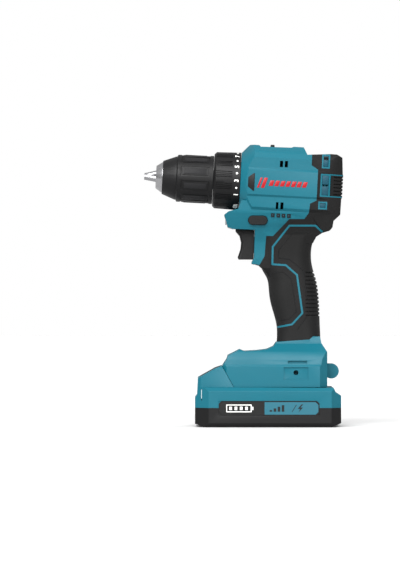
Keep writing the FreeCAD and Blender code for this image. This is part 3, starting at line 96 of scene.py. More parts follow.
def add_node(tree: bpy.types.NodeTree, kind: str, settings: Links | None = None,
             inputs: Links | None = None) -> bpy.types.Node:
    """Add a shader node with its settings, values and links.

    Args:
        tree: the material's node tree.
        kind: the node's type, without its ShaderNode prefix.
        settings: attributes of the node.
        inputs: socket name to a value, or to the output socket that feeds it.

    Returns:
        The new node.
    """
    node = tree.nodes.new("ShaderNode" + kind)
    for name, value in (settings or {}).items():
        setattr(node, name, value)
    for name, value in (inputs or {}).items():
        socket = node.inputs[name]
        if isinstance(value, bpy.types.NodeSocket):
            tree.links.new(value, socket)
        else:
            socket.default_value = value
    return node


def blank_material(name: str) -> tuple[bpy.types.Material, bpy.types.NodeTree]:
    """Make a material whose node tree is empty."""
    material = bpy.data.materials.new(name)
    material.use_nodes = True
    material.node_tree.nodes.clear()
    return material, material.node_tree


def close_material(tree: bpy.types.NodeTree, shader: bpy.types.Node) -> None:
    """Join a shader to the material's output."""
    add_node(tree, "OutputMaterial", inputs={"Surface": shader.outputs[0]})


@dataclass(frozen=True)
class Moulded:
    """A moulded plastic or rubber: a body colour with a slight drift and an eroded-tool grain.

    Attributes:
        name: the material's name.
        colour: body colour.
        drift: the colour it drifts to over a few centimetres.
        rough: mean roughness.
        rough_span: how far the roughness wanders.
        grain_mm: width of the grain.
        depth_mm: depth of the grain.
        coat: weight of a thin clear gloss.
        ior: index of refraction.
        gloss: how much of the plain reflection the fine grain leaves.
        stipple: True for a pebbled grip surface instead of a fine spark grain.
    """

    name: str
    colour: str
    drift: str
    rough: float
    rough_span: float = 0.08
    grain_mm: float = 0.5
    depth_mm: float = 0.02
    coat: float = 0.0
    ior: float = 1.5
    gloss: float = 0.2
    stipple: bool = False

    def build(self) -> bpy.types.Material:
        """Make the node material."""
        material, tree = blank_material(self.name)
        place = add_node(tree, "TexCoord").outputs["Object"]
        broad = add_node(tree, "TexNoise", inputs={"Vector": place, "Scale": 1 / (28 * MM), "Detail": 3.0})
        colour = add_node(tree, "Mix", {"data_type": "RGBA"}, {"Factor": broad.outputs["Fac"]})
        colour.inputs[6].default_value = linear(self.colour)
        colour.inputs[7].default_value = linear(self.drift)
        rough = add_node(tree, "MapRange", inputs={
            "Value": broad.outputs["Fac"], "From Min": 0.3, "From Max": 0.7,
            "To Min": self.rough - self.rough_span, "To Max": self.rough + self.rough_span})
        if self.stipple:
            grain = add_node(tree, "TexVoronoi", {"feature": "SMOOTH_F1"},
                             {"Vector": place, "Scale": 1 / (self.grain_mm * MM), "Smoothness": 0.6})
            height = grain.outputs["Distance"]
        else:
            grain = add_node(tree, "TexNoise", inputs={
                "Vector": place, "Scale": 1 / (self.grain_mm * MM), "Detail": 4.0, "Roughness": 0.65})
            height = grain.outputs["Fac"]
        bump = add_node(tree, "Bump", inputs={
            "Height": height, "Strength": 0.6, "Distance": self.depth_mm * MM})
        shader = add_node(tree, "BsdfPrincipled", inputs={
            "Base Color": colour.outputs[2], "Roughness": rough.outputs["Result"],
            "Normal": bump.outputs["Normal"], "IOR": self.ior, "Specular IOR Level": self.gloss,
            "Coat Weight": self.coat, "Coat Roughness": 0.25})
        close_material(tree, shader)
        return material


@dataclass(frozen=True)
class Machined:
    """A metal with fine tool marks, either rings round the spindle or a plain directionless grain.

    Attributes:
        name: the material's name.
        colour: reflected colour.
        rough: mean roughness.
        pitch_mm: distance between tool marks; drawn coarser than real ones so that they show.
        depth_mm: depth of the tool marks.
        turned: True for rings round the spindle axis.
    """

    name: str
    colour: str
    rough: float
    pitch_mm: float = 0.35
    depth_mm: float = 0.006
    turned: bool = True

    def build(self) -> bpy.types.Material:
        """Make the node material."""
        material, tree = blank_material(self.name)
        place = add_node(tree, "TexCoord").outputs["Object"]
        smear = add_node(tree, "TexNoise", inputs={"Vector": place, "Scale": 1 / (6 * MM), "Detail": 5.0})
        if self.turned:
            rings = add_node(tree, "Mapping", inputs={
                "Vector": place, "Rotation": (0, math.radians(-NOSE_TILT), 0)})
            marks = add_node(tree, "TexWave", {"bands_direction": "X"}, {
                "Vector": rings.outputs["Vector"], "Scale": 1 / (self.pitch_mm * MM) / WAVES_PER_UNIT,
                "Distortion": 0.6, "Detail": 2.0})
        else:
            marks = add_node(tree, "TexNoise", inputs={
                "Vector": place, "Scale": 1 / (self.pitch_mm * MM), "Detail": 3.0})
        bump = add_node(tree, "Bump", inputs={
            "Height": marks.outputs["Fac"], "Strength": 0.5, "Distance": self.depth_mm * MM})
        rough = add_node(tree, "MapRange", inputs={
            "Value": smear.outputs["Fac"], "From Min": 0.3, "From Max": 0.7, "To Min": self.rough - 0.06,
            "To Max": self.rough + 0.08})
        shader = add_node(tree, "BsdfPrincipled", inputs={
            "Base Color": linear(self.colour), "Metallic": 1.0, "Roughness": rough.outputs["Result"],
            "Normal": bump.outputs["Normal"], "Anisotropic": 0.4 if self.turned else 0.0})
        close_material(tree, shader)
        return material


@dataclass(frozen=True)
class Clear:
    """A clear moulded lens."""

    name: str
    tint: str

    def build(self) -> bpy.types.Material:
        """Make the node material."""
        material, tree = blank_material(self.name)
        place = add_node(tree, "TexCoord").outputs["Object"]
        flutes = add_node(tree, "TexWave", {"bands_direction": "Y"}, {
            "Vector": place, "Scale": 1 / (1.4 * MM) / WAVES_PER_UNIT})
        bump = add_node(tree, "Bump", inputs={"Height": flutes.outputs["Fac"], "Distance": 0.15 * MM})
        shader = add_node(tree, "BsdfPrincipled", inputs={
            "Base Color": linear(self.tint), "Roughness": 0.12, "Transmission Weight": 0.85, "IOR": 1.49,
            "Normal": bump.outputs["Normal"]})
        close_material(tree, shader)
        return material


class Finish(Enum):
    """Every finish on the drill."""

    # PC/ABS, injection moulded with a fine spark-eroded grain: an even satin teal.
    TEAL_ABS = Moulded("teal_pc_abs", "0a5867", "095260", 0.45, grain_mm=0.45, depth_mm=0.016)
    # Thermoplastic elastomer, overmoulded: matt and pebbled, so highlights stay broad and dim.
    SOFT_TPE = Moulded(
        "black_tpe_overmould", "0b0b0b", "0f0f0f", 0.7, grain_mm=0.75, depth_mm=0.05, stipple=True)
    # Glass-filled nylon: a slightly cloudy charcoal with a harder sheen.
    NYLON = Moulded("black_glass_filled_nylon", "070708", "0a0a0b", 0.5, grain_mm=0.4, depth_mm=0.02)
    # Acetal of the trigger and levers: smooth, with a soft gloss.
    ACETAL = Moulded("black_acetal", "060606", "090909", 0.4, grain_mm=0.6, depth_mm=0.008)
    # Printed polyester film of the labels, under a thin clear coat.
    FILM_DARK = Moulded("black_label_film", "060707", "090a0a", 0.32, grain_mm=1.2, depth_mm=0.003, coat=0.3)
    FILM_TEAL = Moulded("teal_label_film", "1c5a69", "195463", 0.34, grain_mm=1.2, depth_mm=0.003, coat=0.3)
    INK_WHITE = Moulded("white_pad_print", "f2f2ef", "e6e6e2", 0.5, grain_mm=0.4, depth_mm=0.004)
    INK_BLACK = Moulded("black_pad_print", "0c0f10", "111314", 0.5, grain_mm=0.4, depth_mm=0.004)
    # Red lacquer of the raised side marks.
    RED_LACQUER = Moulded("red_lacquer", "9a0812", "8c060f", 0.4, grain_mm=1.5, depth_mm=0.004, coat=0.1)
    # Near black that stands in for shade: painted shade in gaps, grooves, slots and pockets, and in the lever's
    # moulded marks.
    SHADOW_GAP = Moulded("painted_gap_shade", "08090a", "0c0d0e", 0.7, grain_mm=0.8, depth_mm=0.01)
    # Steel, turned on a lathe: bright, with rings that stretch the highlight.
    TURNED_STEEL = Machined("turned_steel", "98989a", 0.3)
    GROUND_STEEL = Machined("ground_steel", "8e8e90", 0.32, turned=False)
    GEAR_STEEL = Machined("sintered_gear_steel", "7d7d80", 0.42, pitch_mm=0.3, turned=False)
    COPPER = Machined("enamelled_copper", "b4683a", 0.32, pitch_mm=0.5, turned=False)
    NICKEL = Machined("nickel_strip", "b8b3a6", 0.3, pitch_mm=0.6, turned=False)
    BOARD = Moulded("green_solder_mask", "12502e", "0f4528", 0.35, grain_mm=1.0, depth_mm=0.01, coat=0.4)
    CELL_WRAP = Moulded("blue_shrink_sleeve", "21548c", "1c4a7e", 0.3, grain_mm=2.0, depth_mm=0.01, coat=0.3)
    LENS = Clear("polycarbonate_lens", "f4f6f8")
    # The same teal, darker: painted shade inside the vents in the rims of the rear and in the small square
    # pockets.
    PANE = Moulded("vent_shade_teal", "0a4556", "06303c", 0.5, grain_mm=2.4, depth_mm=0.01)
    # Glass-filled nylon with fine pebbling, drawn coarser than the real one so that it shows.
    KNURLED = Moulded(
        "black_nylon_knurled", "121213", "18181a", 0.6, grain_mm=0.8, depth_mm=0.06, stipple=True)

    def material(self) -> bpy.types.Material:
        """The finish's material, made once."""
        return bpy.data.materials.get(self.value.name) or self.value.build()


# ---- places that come from the frame ---------------------------------------------------------------
def joint(name: str) -> dict[str, Any]:
    """The frame's joint of that name."""
    return next(j for j in frame["joints"] if j["name"] == name)


SPINDLE = joint("spindle_spin")
NOSE_TILT = math.degrees(math.atan2(-SPINDLE["axis"][2], SPINDLE["axis"][0]))
BARREL = Matrix.Translation(Vector(SPINDLE["pos_m"])) @ Matrix.Rotation(math.radians(NOSE_TILT), 4, "Y")
TO_MM = Matrix.Scale(MM, 4)
BARREL_MM = BARREL @ TO_MM


def in_barrel_frame(node: str) -> tuple[Vector, Vector]:
    """Lowest and highest corner of a CAD node in the barrel's own frame, in millimetres."""
    back = BARREL_MM.inverted()
    places = [back @ v.co for v in frame["nodes"][node].data.vertices]
    low = Vector([min(p[i] for p in places) for i in range(3)])
    high = Vector([max(p[i] for p in places) for i in range(3)])
    return low, high


# ---- mesh tools ------------------------------------------------------------------------------------
def finish_piece(name: str, mesh: bmesh.types.BMesh, finish: Finish, body: str,
                 smooth_deg: float = 35.0) -> bpy.types.Object:
    """Turn a bmesh into a finished piece that rides on a body.

    Args:
        name: the piece's name.
        mesh: its shape, in metres, in the row's frame.
        finish: its finish.
        body: the body that it rides on.
        smooth_deg: edges sharper than this stay sharp.

    Returns:
        The new object.
    """
    data = bpy.data.meshes.new(name)
    mesh.to_mesh(data)
    mesh.free()
    data.polygons.foreach_set("use_smooth", [True] * len(data.polygons))
    data.set_sharp_from_angle(angle=math.radians(smooth_deg))
    data.materials.append(finish.material())
    piece = bpy.data.objects.new(name, data)
    bpy.context.scene.collection.objects.link(piece)
    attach(piece, body)
    LOG.info("%s: %d faces on %s", name, len(data.polygons), body)
    return piece


def node_body(node: str) -> str:
    """The body that a CAD node rides on."""
    return next(b for b, nodes in frame["record"]["behaviour"]["bodies"].items() if node in nodes)


def merged_copy(node: str) -> bmesh.types.BMesh:
    """A CAD node's shape with its doubles merged and its flat faces joined."""
    mesh = bmesh.new()
    mesh.from_mesh(frame["nodes"][node].data)
    bmesh.ops.remove_doubles(mesh, verts=mesh.verts, dist=0.002 * MM)
    bmesh.ops.dissolve_limit(mesh, angle_limit=math.radians(0.8), verts=mesh.verts, edges=mesh.edges,
                             delimit={"NORMAL"})
    return mesh


def soften(piece: bpy.types.Object, width_mm: float, segments: int = 3, angle_deg: float = 28.0) -> None:
    """Round a piece's edges with a bevel that keeps its flats flat."""
    bevel = piece.modifiers.new("moulded_edges", "BEVEL")
    bevel.width = width_mm * MM
    bevel.segments = segments
    bevel.limit_method = "ANGLE"
    bevel.angle_limit = math.radians(angle_deg)
    bevel.use_clamp_overlap = True
    bevel.harden_normals = True


def refined(node: str, finish: Finish, edge_mm: float, segments: int = 3) -> bpy.types.Object:
    """Replace a CAD node by a merged copy with rounded edges.

    Args:
        node: the CAD node.
        finish: its finish.
        edge_mm: the radius of its edges.
        segments: steps in each rounded edge.

    Returns:
        The new piece.
    """
    piece = finish_piece(node + "_moulded", merged_copy(node), finish, node_body(node))
    if edge_mm:
        soften(piece, edge_mm, segments)
    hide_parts(node)
    return piece


def rectangle(x0: float, x1: float, z0: float, z1: float) -> list[Point]:
    """The four corners of a rectangle."""
    return [(x0, z0), (x1, z0), (x1, z1), (x0, z1)]


def plate(outline: Sequence[Point], low: float, high: float, bevel: float = 0.0) -> bmesh.types.BMesh:
    """A flat plate in millimetres: an (x, z) outline between y = low and y = high.

    Args:
        outline: corner points.
        low: y of the back.
        high: y of the face.
        bevel: width of the rounding of the plate's edges.

    Returns:
        The plate as a bmesh.
    """
    mesh = bmesh.new()
    corners = [mesh.verts.new((x, low, z)) for x, z in outline]
    base = mesh.faces.new(corners)
    grown = bmesh.ops.extrude_face_region(mesh, geom=[base])
    moved = [g for g in grown["geom"] if isinstance(g, bmesh.types.BMVert)]
    bmesh.ops.translate(mesh, vec=(0, high - low, 0), verts=moved)
    bmesh.ops.recalc_face_normals(mesh, faces=mesh.faces)
    if bevel:
        bmesh.ops.bevel(mesh, geom=list(mesh.edges), offset=bevel, offset_type="OFFSET", segments=2,
                        profile=0.5, affect="EDGES", material=-1, clamp_overlap=True)
    return mesh


def surface_y(node: str, x: float, z: float) -> float:
    """How far out a CAD node's +Y side is at a place, in millimetres.

    Args:
        node: the CAD node.
        x: the place's x in metres.
        z: the place's z in metres.

    Returns:
        The outermost y in millimetres, or 0 where the node has no surface there.
    """
    if node not in TREES:
        TREES[node] = BVHTree.FromPolygons(*node_polygons(node))
    sign = 1.0 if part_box(node)[1].y > -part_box(node)[0].y else -1.0
    hit = TREES[node].ray_cast(Vector((x, sign * 0.2, z)), Vector((0, -sign, 0)))[0]
    return abs(hit.y) / MM if hit else 0.0


def node_polygons(node: str) -> tuple[list[Vector], list[tuple[int, ...]]]:
    """A CAD node's corners and faces, for casting rays at it."""
    data = frame["nodes"][node].data
    return [v.co.copy() for v in data.vertices], [tuple(p.vertices) for p in data.polygons]


def bead(path: Sequence[Vector], radius: float) -> bmesh.types.BMesh:
    """A thin six-sided bead along a path, in millimetres."""
    mesh = bmesh.new()
    rings = []
    for k, place in enumerate(path):
        ahead = (path[min(k + 1, len(path) - 1)] - path[max(k - 1, 0)]).normalized()
        turn = ahead.to_track_quat("Z", "Y").to_matrix().to_4x4()
        turn.translation = place
        ring = bmesh.ops.create_circle(mesh, segments=6, radius=radius, matrix=turn)["verts"]
        rings.append([e for e in mesh.edges if all(v in ring for v in e.verts)])
    for first, second in zip(rings, rings[1:]):
        bmesh.ops.bridge_loops(mesh, edges=first + second)
    bmesh.ops.holes_fill(mesh, edges=mesh.edges, sides=6)
    bmesh.ops.recalc_face_normals(mesh, faces=mesh.faces)
    return mesh


def join(meshes: Iterable[bmesh.types.BMesh], place: Matrix = Matrix.Identity(4)) -> bmesh.types.BMesh:
    """Put several bmeshes into one and move it to its place."""
    whole = bmesh.new()
    for mesh in meshes:
        data = bpy.data.meshes.new("part")
        mesh.to_mesh(data)
        mesh.free()
        whole.from_mesh(data)
        bpy.data.meshes.remove(data)
    bmesh.ops.transform(whole, matrix=place, verts=whole.verts)
    return whole


def both_sides(mesh: bmesh.types.BMesh) -> bmesh.types.BMesh:
    """A shape drawn on the +Y side, and its mirror image."""
    twin = mesh.copy()
    bmesh.ops.scale(twin, vec=(1, -1, 1), verts=twin.verts)
    bmesh.ops.reverse_faces(twin, faces=twin.faces)
    return join([mesh, twin])


def numeral(text: str, height: float, thick: float) -> bmesh.types.BMesh:
    """A numeral in the x-y plane, centred, with its top towards +y, in millimetres."""
    curve = bpy.data.curves.new("numeral", "FONT")
    curve.body = text
    curve.size = height * 1.38
    curve.align_x = "CENTER"
    curve.align_y = "CENTER"
    curve.extrude = thick / 2
    curve.offset = 0.035 * height
    curve.resolution_u = 3
    holder = bpy.data.objects.new("numeral", curve)
    bpy.context.scene.collection.objects.link(holder)
    bpy.context.view_layer.update()
    data = bpy.data.meshes.new_from_object(holder)
    mesh = bmesh.new()
    mesh.from_mesh(data)
    bpy.data.objects.remove(holder)
    bpy.data.curves.remove(curve)
    bpy.data.meshes.remove(data)
    bmesh.ops.remove_doubles(mesh, verts=mesh.verts, dist=0.001)
    return mesh


# ---- sub-assemblies --------------------------------------------------------------------------------
@dataclass
class Casing:
    """The moulded shells, overmould and bumper of the drill."""

    shell_edge: float = 0.5
    grip_edge: float = 0.35
    badge_outline: tuple[Point, ...] = (
        (6.0, 3.2), (10.0, 6.4), (11.2, 6.6), (11.2, -7.8), (9.9, -7.3), (6.0, -4.2))
    badge_proud: float = 0.25
    slash_lean: float = 0.32
    slash_places: tuple[tuple[float, float, float, float], ...] = (
        (13.2, 1.6, -4.8, 3.4), (16.2, 2.8, -4.8, 3.4),
    ) + tuple((22.4 + 4.4 * k, 3.2, -2.9, 1.5) for k in range(7))
    panes: tuple[tuple[float, float, float, float], ...] = (
        (65.0, 69.0, 14.4, 20.0), (65.0, 69.0, 20.7, 23.4), (64.6, 70.0, -8.2, -0.9), (64.6, 70.0, 0.3, 7.6),
        (63.8, 68.4, -18.2, -14.4))
    square_places: tuple[float, ...] = (27.0, 31.4, 35.5, 39.8)
    pane_gap: float = 0.15
    square_height: float = -25.9
    groove_shade_half: float = 0.42
    groove_shade_lines: tuple[tuple[Point, ...], ...] = (
        ((33.0, 154.6), (20.0, 154.6), (8.6, 140.6), (8.3, 134.2), (17.4, 133.0), (28.4, 124.0), (32.6, 90.0),
         (23.4, 77.0)),
        ((5.2, 122.6), (12.4, 122.8), (18.6, 117.4), (22.6, 91.4), (16.6, 85.4), (10.4, 84.6)),
    )

    def build(self) -> None:
        """Build the shells, the grip covers, the rear pad and the details on them."""
        for side in ("left", "right"):
            refined("housing_" + side, Finish.TEAL_ABS, self.shell_edge)
            refined("grip_cover_" + side, Finish.SOFT_TPE, self.grip_edge, 2)
        refined("rear_pad", Finish.SOFT_TPE, 0.25, 2)
        self.badge()
        self.slashes()
        self.rear_vent_shade()
        self.small_squares()
        self.grip_groove_shade()

    def side_face(self) -> float:
        """Half width of the barrel's flat side, in millimetres."""
        return surface_y("housing_left", *self.on_rim(30.0, 0.0))

    def badge(self) -> None:
        """The dark trapezoid at the front of each side panel."""
        face = self.side_face()
        mesh = both_sides(plate(self.badge_outline, face - 0.6, face + self.badge_proud, 0.2))
        bmesh.ops.transform(mesh, matrix=BARREL_MM, verts=mesh.verts)
        finish_piece("side_badge", mesh, Finish.NYLON, "drill_body")

    def slashes(self) -> None:
        """A generic raised red mark: two tall slanted bars, then a row of short ones."""
        face = self.side_face()
        bars = []
        for start, wide, low, high in self.slash_places:
            lean = self.slash_lean * (high - low)
            outline = [(start, low), (start + wide, low), (start + wide + lean, high), (start + lean, high)]
            bars.append(plate(outline, face - 0.3, face + 0.18, 0.08))
        mesh = both_sides(join(bars))
        bmesh.ops.transform(mesh, matrix=BARREL_MM, verts=mesh.verts)
        finish_piece("side_slashes", mesh, Finish.RED_LACQUER, "drill_body")


    def rear_vent_shade(self) -> None:
        """Darker teal panes set back in the rims of the rear, each with a shallow crown: painted shade inside the
        vents.
        """
        shapes = []
        for u0, u1, v0, v1 in self.panes:
            wall = surface_y("housing_left", *self.on_rim(u0 - 0.6, (v0 + v1) / 2))
            gap = self.pane_gap
            outline = rectangle(u0 + gap, u1 - gap, v0 + gap, v1 - gap)
            shapes.append(plate(outline, wall - 1.6, wall - 0.45, 0.18))
        mesh = both_sides(join(shapes))
        bmesh.ops.transform(mesh, matrix=BARREL_MM, verts=mesh.verts)
        finish_piece("rear_vent_shade", mesh, Finish.PANE, "drill_body")

    def on_rim(self, u: float, v: float) -> tuple[float, float]:
        """World x and z, in metres, of a place on the barrel's side."""
        place = BARREL_MM @ Vector((u, 0, v))
        return place.x, place.z

    def small_squares(self) -> None:
        """Near-black fills with darker teal centres in the four small square pockets under the lower vents:
        painted shade of the pockets.
        """
        for name, half, proud, finish, slot in (
                ("square_pocket_shade", 1.4, -0.05, Finish.SHADOW_GAP, "black_plastic"),
                ("square_shaded_centres", 0.4, 0.0, Finish.PANE, "teal_plastic")):
            shapes = []
            for u in self.square_places:
                beside = [self.on_rim(u + 2.1, self.square_height + v) for v in (-1, 1)]
                walls = [surface_y("housing_left", x, z) for x, z in beside]
                low, high = self.square_height - half, self.square_height + half
                outline = rectangle(u - half, u + half, low, high)
                shapes.append(plate(outline, min(walls) - 1.2, max(walls) + proud, 0.1))
            mesh = both_sides(join(shapes))
            bmesh.ops.transform(mesh, matrix=BARREL_MM, verts=mesh.verts)
            finish_piece(name, mesh, finish, "drill_body")

    def grip_groove_shade(self) -> None:
        """Fine dark beads that follow the edges of the grip's two black fields: painted shade of the grooves
        there.
        """
        beads = []
        for line in self.groove_shade_lines:
            places = []
            for (x0, z0), (x1, z1) in zip(line, line[1:]):
                steps = max(2, round(math.hypot(x1 - x0, z1 - z0) / 1.5))
                places += [(x0 + (x1 - x0) * k / steps, z0 + (z1 - z0) * k / steps) for k in range(steps)]
            places.append(line[-1])
            walls = [surface_y("grip_cover_left", x * MM, z * MM) for x, z in places]
            path = [Vector((x, y - 0.12, z)) for (x, z), y in zip(places, walls) if y > 0]
            beads.append(bead(path, self.groove_shade_half))
        mesh = both_sides(join(beads))
        bmesh.ops.transform(mesh, matrix=TO_MM, verts=mesh.verts)
        finish_piece("grip_groove_shade", mesh, Finish.SHADOW_GAP, "drill_body")


@dataclass
class Chuck:
    """The keyless chuck."""

    pads: int = 10
    panel: tuple[float, float] = (-44.8, -27.4)
    panel_half: float = 2.3
    panel_radius: float = 18.85
    lip_radii: Point = (16.9, 18.7)
    lip_span: Point = (-0.4, 0.17)

    def build(self) -> None:
        """Build the sleeve, body and jaws, then the sleeve's panels and rear lip."""
        refined("chuck_sleeve", Finish.NYLON, 0.3)
        refined("chuck_body", Finish.TURNED_STEEL, 0.25)
        for k in (1, 2, 3):
            refined("chuck_jaw_%d" % k, Finish.GROUND_STEEL, 0.15)
        self.panels()
        self.rear_lip()

    def rear_lip(self) -> None:
        """A thin dark lip on the sleeve's rear end, which closes most of the gap to the torque ring; its near
        black is painted shade in that gap.
        """
        end = in_barrel_frame("chuck_sleeve")[1].x
        section = bmesh.new()
        corners = [section.verts.new((u, 0, v)) for u, v in rectangle(
            end + self.lip_span[0], end + self.lip_span[1], *self.lip_radii)]
        ring = [section.edges.new((corners[k], corners[(k + 1) % 4])) for k in range(4)]
        bmesh.ops.spin(section, geom=ring + corners, cent=(0, 0, 0), axis=(1, 0, 0), angle=2 * math.pi,
                       steps=96, use_merge=True)
        bmesh.ops.remove_doubles(section, verts=section.verts, dist=0.001)
        bmesh.ops.recalc_face_normals(section, faces=section.faces)
        bmesh.ops.transform(section, matrix=BARREL_MM, verts=section.verts)
        finish_piece("sleeve_lip_gap_shade", section, Finish.SHADOW_GAP, "sleeve_body")

    def panels(self) -> None:
        """A low finely knurled panel in the middle of each of the sleeve's pads."""
        start, end = self.panel
        low, high = self.panel_radius - 0.4, self.panel_radius + 0.22
        shapes = []
        for pad in range(self.pads):
            shape = plate(rectangle(start, end, low, high), -self.panel_half, self.panel_half, 0.16)
            turn = Matrix.Rotation(2 * math.pi * pad / self.pads, 4, "X")
            bmesh.ops.transform(shape, matrix=turn, verts=shape.verts)
            shapes.append(shape)
        finish_piece("sleeve_panels", join(shapes, BARREL_MM), Finish.KNURLED, "sleeve_body")


@dataclass
class TorqueRing:
    """The torque ring and its scale."""

    step_deg: float = 14.4
    first_deg: float = -28.8
    positions: int = 18
    drill_mark_deg: float = -62.0
    print_proud: float = 0.06
    band_middle: float = -3.1
    digit_high: float = 3.4
    dot_radius: float = 0.8
    stripes: int = 4
    stripe_step: float = 1.35
    stripe_half: float = 1.7

    def build(self) -> None:
        """Build the ring and its printed scale."""
        refined("torque_ring", Finish.NYLON, 0.2, 2)
        self.scale()

    def on_band(self, angle_deg: float) -> Matrix:
        """Place something drawn in x-y, facing +z, on the band at an angle above the side."""
        angle = math.radians(angle_deg)
        outward = Vector((0, -math.cos(angle), math.sin(angle)))
        right = Vector((0, math.sin(angle), math.cos(angle)))
        up = Vector((-1, 0, 0))
        radius = in_barrel_frame("torque_ring")[1].y - 0.08
        matrix = Matrix((right, up, outward)).transposed().to_4x4()
        matrix.translation = outward * (radius + self.print_proud) + Vector((self.band_middle, 0, 0))
        return matrix

    def scale(self) -> None:
        """White numerals, dots and the striped drilling mark."""
        marks = []
        for k in range(self.positions):
            if k % 2 == 0:
                mark = numeral(str(k + 1), self.digit_high, 0.16)
            else:
                mark = bmesh.new()
                bmesh.ops.create_circle(mark, cap_ends=True, segments=24, radius=self.dot_radius)
                bmesh.ops.translate(mark, vec=(0, 0, 0.06), verts=mark.verts)
            place = self.on_band(self.first_deg + self.step_deg * k)
            bmesh.ops.transform(mark, matrix=place, verts=mark.verts)
            marks.append(mark)
        half = self.stripe_half
        for k in range(self.stripes):
            start = -2.6 + self.stripe_step * k
            corners = [(start, -half), (start + 0.85, -half), (start + 1.65, half), (start + 0.8, half)]
            stripe = plate(corners, -0.08, 0.08)
            bmesh.ops.rotate(stripe, matrix=Matrix.Rotation(math.radians(90), 3, "X"), verts=stripe.verts)
            bmesh.ops.transform(stripe, matrix=self.on_band(self.drill_mark_deg), verts=stripe.verts)
            marks.append(stripe)
        whole = join(marks, BARREL_MM)
        finish_piece("torque_scale", whole, Finish.INK_WHITE, "torque_ring_body")


@dataclass
class Controls:
    """Trigger, direction lever, gear selector and lamp."""

    lever_tall: float = 7.0
    flange_at: float = 11.0
    gap_shade_half: float = 8.2
    gap_shade_long: float = 14.6

    def build(self) -> None:
        """Build the hand controls and the lamp's lens."""
        refined("trigger", Finish.ACETAL, 0.25)
        refined("direction_lever", Finish.ACETAL, 0.3)
        self.lever_marks()
        self.lever_flanges()
        self.trigger_gap_shade()
        refined("gear_selector", Finish.ACETAL, 0.4)
        refined("lamp_lens", Finish.LENS, 0.5)


    def lever_flanges(self) -> None:
        """Thin dark flanges on the lever inside the neck, which keep light out of its slot; their near black is
        painted shade in the slot.
        """
        low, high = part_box("direction_lever")
        x0, x1, z1 = low.x / MM - 1.1, high.x / MM + 1.1, high.z / MM + 1.1
        z0 = z1 - self.lever_tall - 2.2
        outline = [(x0 + 2, z0), (x1 - 2, z0), (x1, z0 + 2), (x1, z1 - 2),
                   (x1 - 2, z1), (x0 + 2, z1), (x0, z1 - 2), (x0, z0 + 2)]
        near, far = self.flange_at, self.flange_at + 0.5
        shapes = [plate(outline, -far, -near), plate(outline, near, far)]
        finish_piece("lever_flanges", join(shapes, TO_MM), Finish.SHADOW_GAP, "lever_body")

    def trigger_gap_shade(self) -> None:
        """A dark strip under the nose of the neck that the trigger slides along: painted shade in the gap above
        the trigger.
        """
        low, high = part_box("trigger")
        x0, z0 = low.x / MM + 0.2, high.z / MM + 0.15
        outline = rectangle(x0, x0 + self.gap_shade_long, z0, z0 + 1.6)
        mesh = join([plate(outline, -self.gap_shade_half, self.gap_shade_half, 0.1)], TO_MM)
        finish_piece("trigger_gap_shade", mesh, Finish.SHADOW_GAP, "drill_body")

    def lever_marks(self) -> None:
        """Two small arrow heads and a stroke on each face of the direction lever, in near black set just under its
        face: painted shade of moulded marks.
        """
        low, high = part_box("direction_lever")
        x, z = (low.x + high.x) / 2 / MM, (low.z + high.z) / 2 / MM
        shapes = []
        for face, side in ((high.y / MM, 1), (low.y / MM, -1)):
            back, front = sorted((face - 0.3 * side, face - 0.02 * side))
            shapes.append(plate([(x - 3.9, z), (x - 2.5, z - 0.9), (x - 2.5, z + 0.9)], back, front))
            shapes.append(plate(rectangle(x - 0.3, x + 0.3, z - 0.8, z + 0.8), back, front))
            shapes.append(plate([(x + 3.9, z), (x + 2.5, z - 0.9), (x + 2.5, z + 0.9)], back, front))
        finish_piece("lever_marks", join(shapes, TO_MM), Finish.SHADOW_GAP, "lever_body")


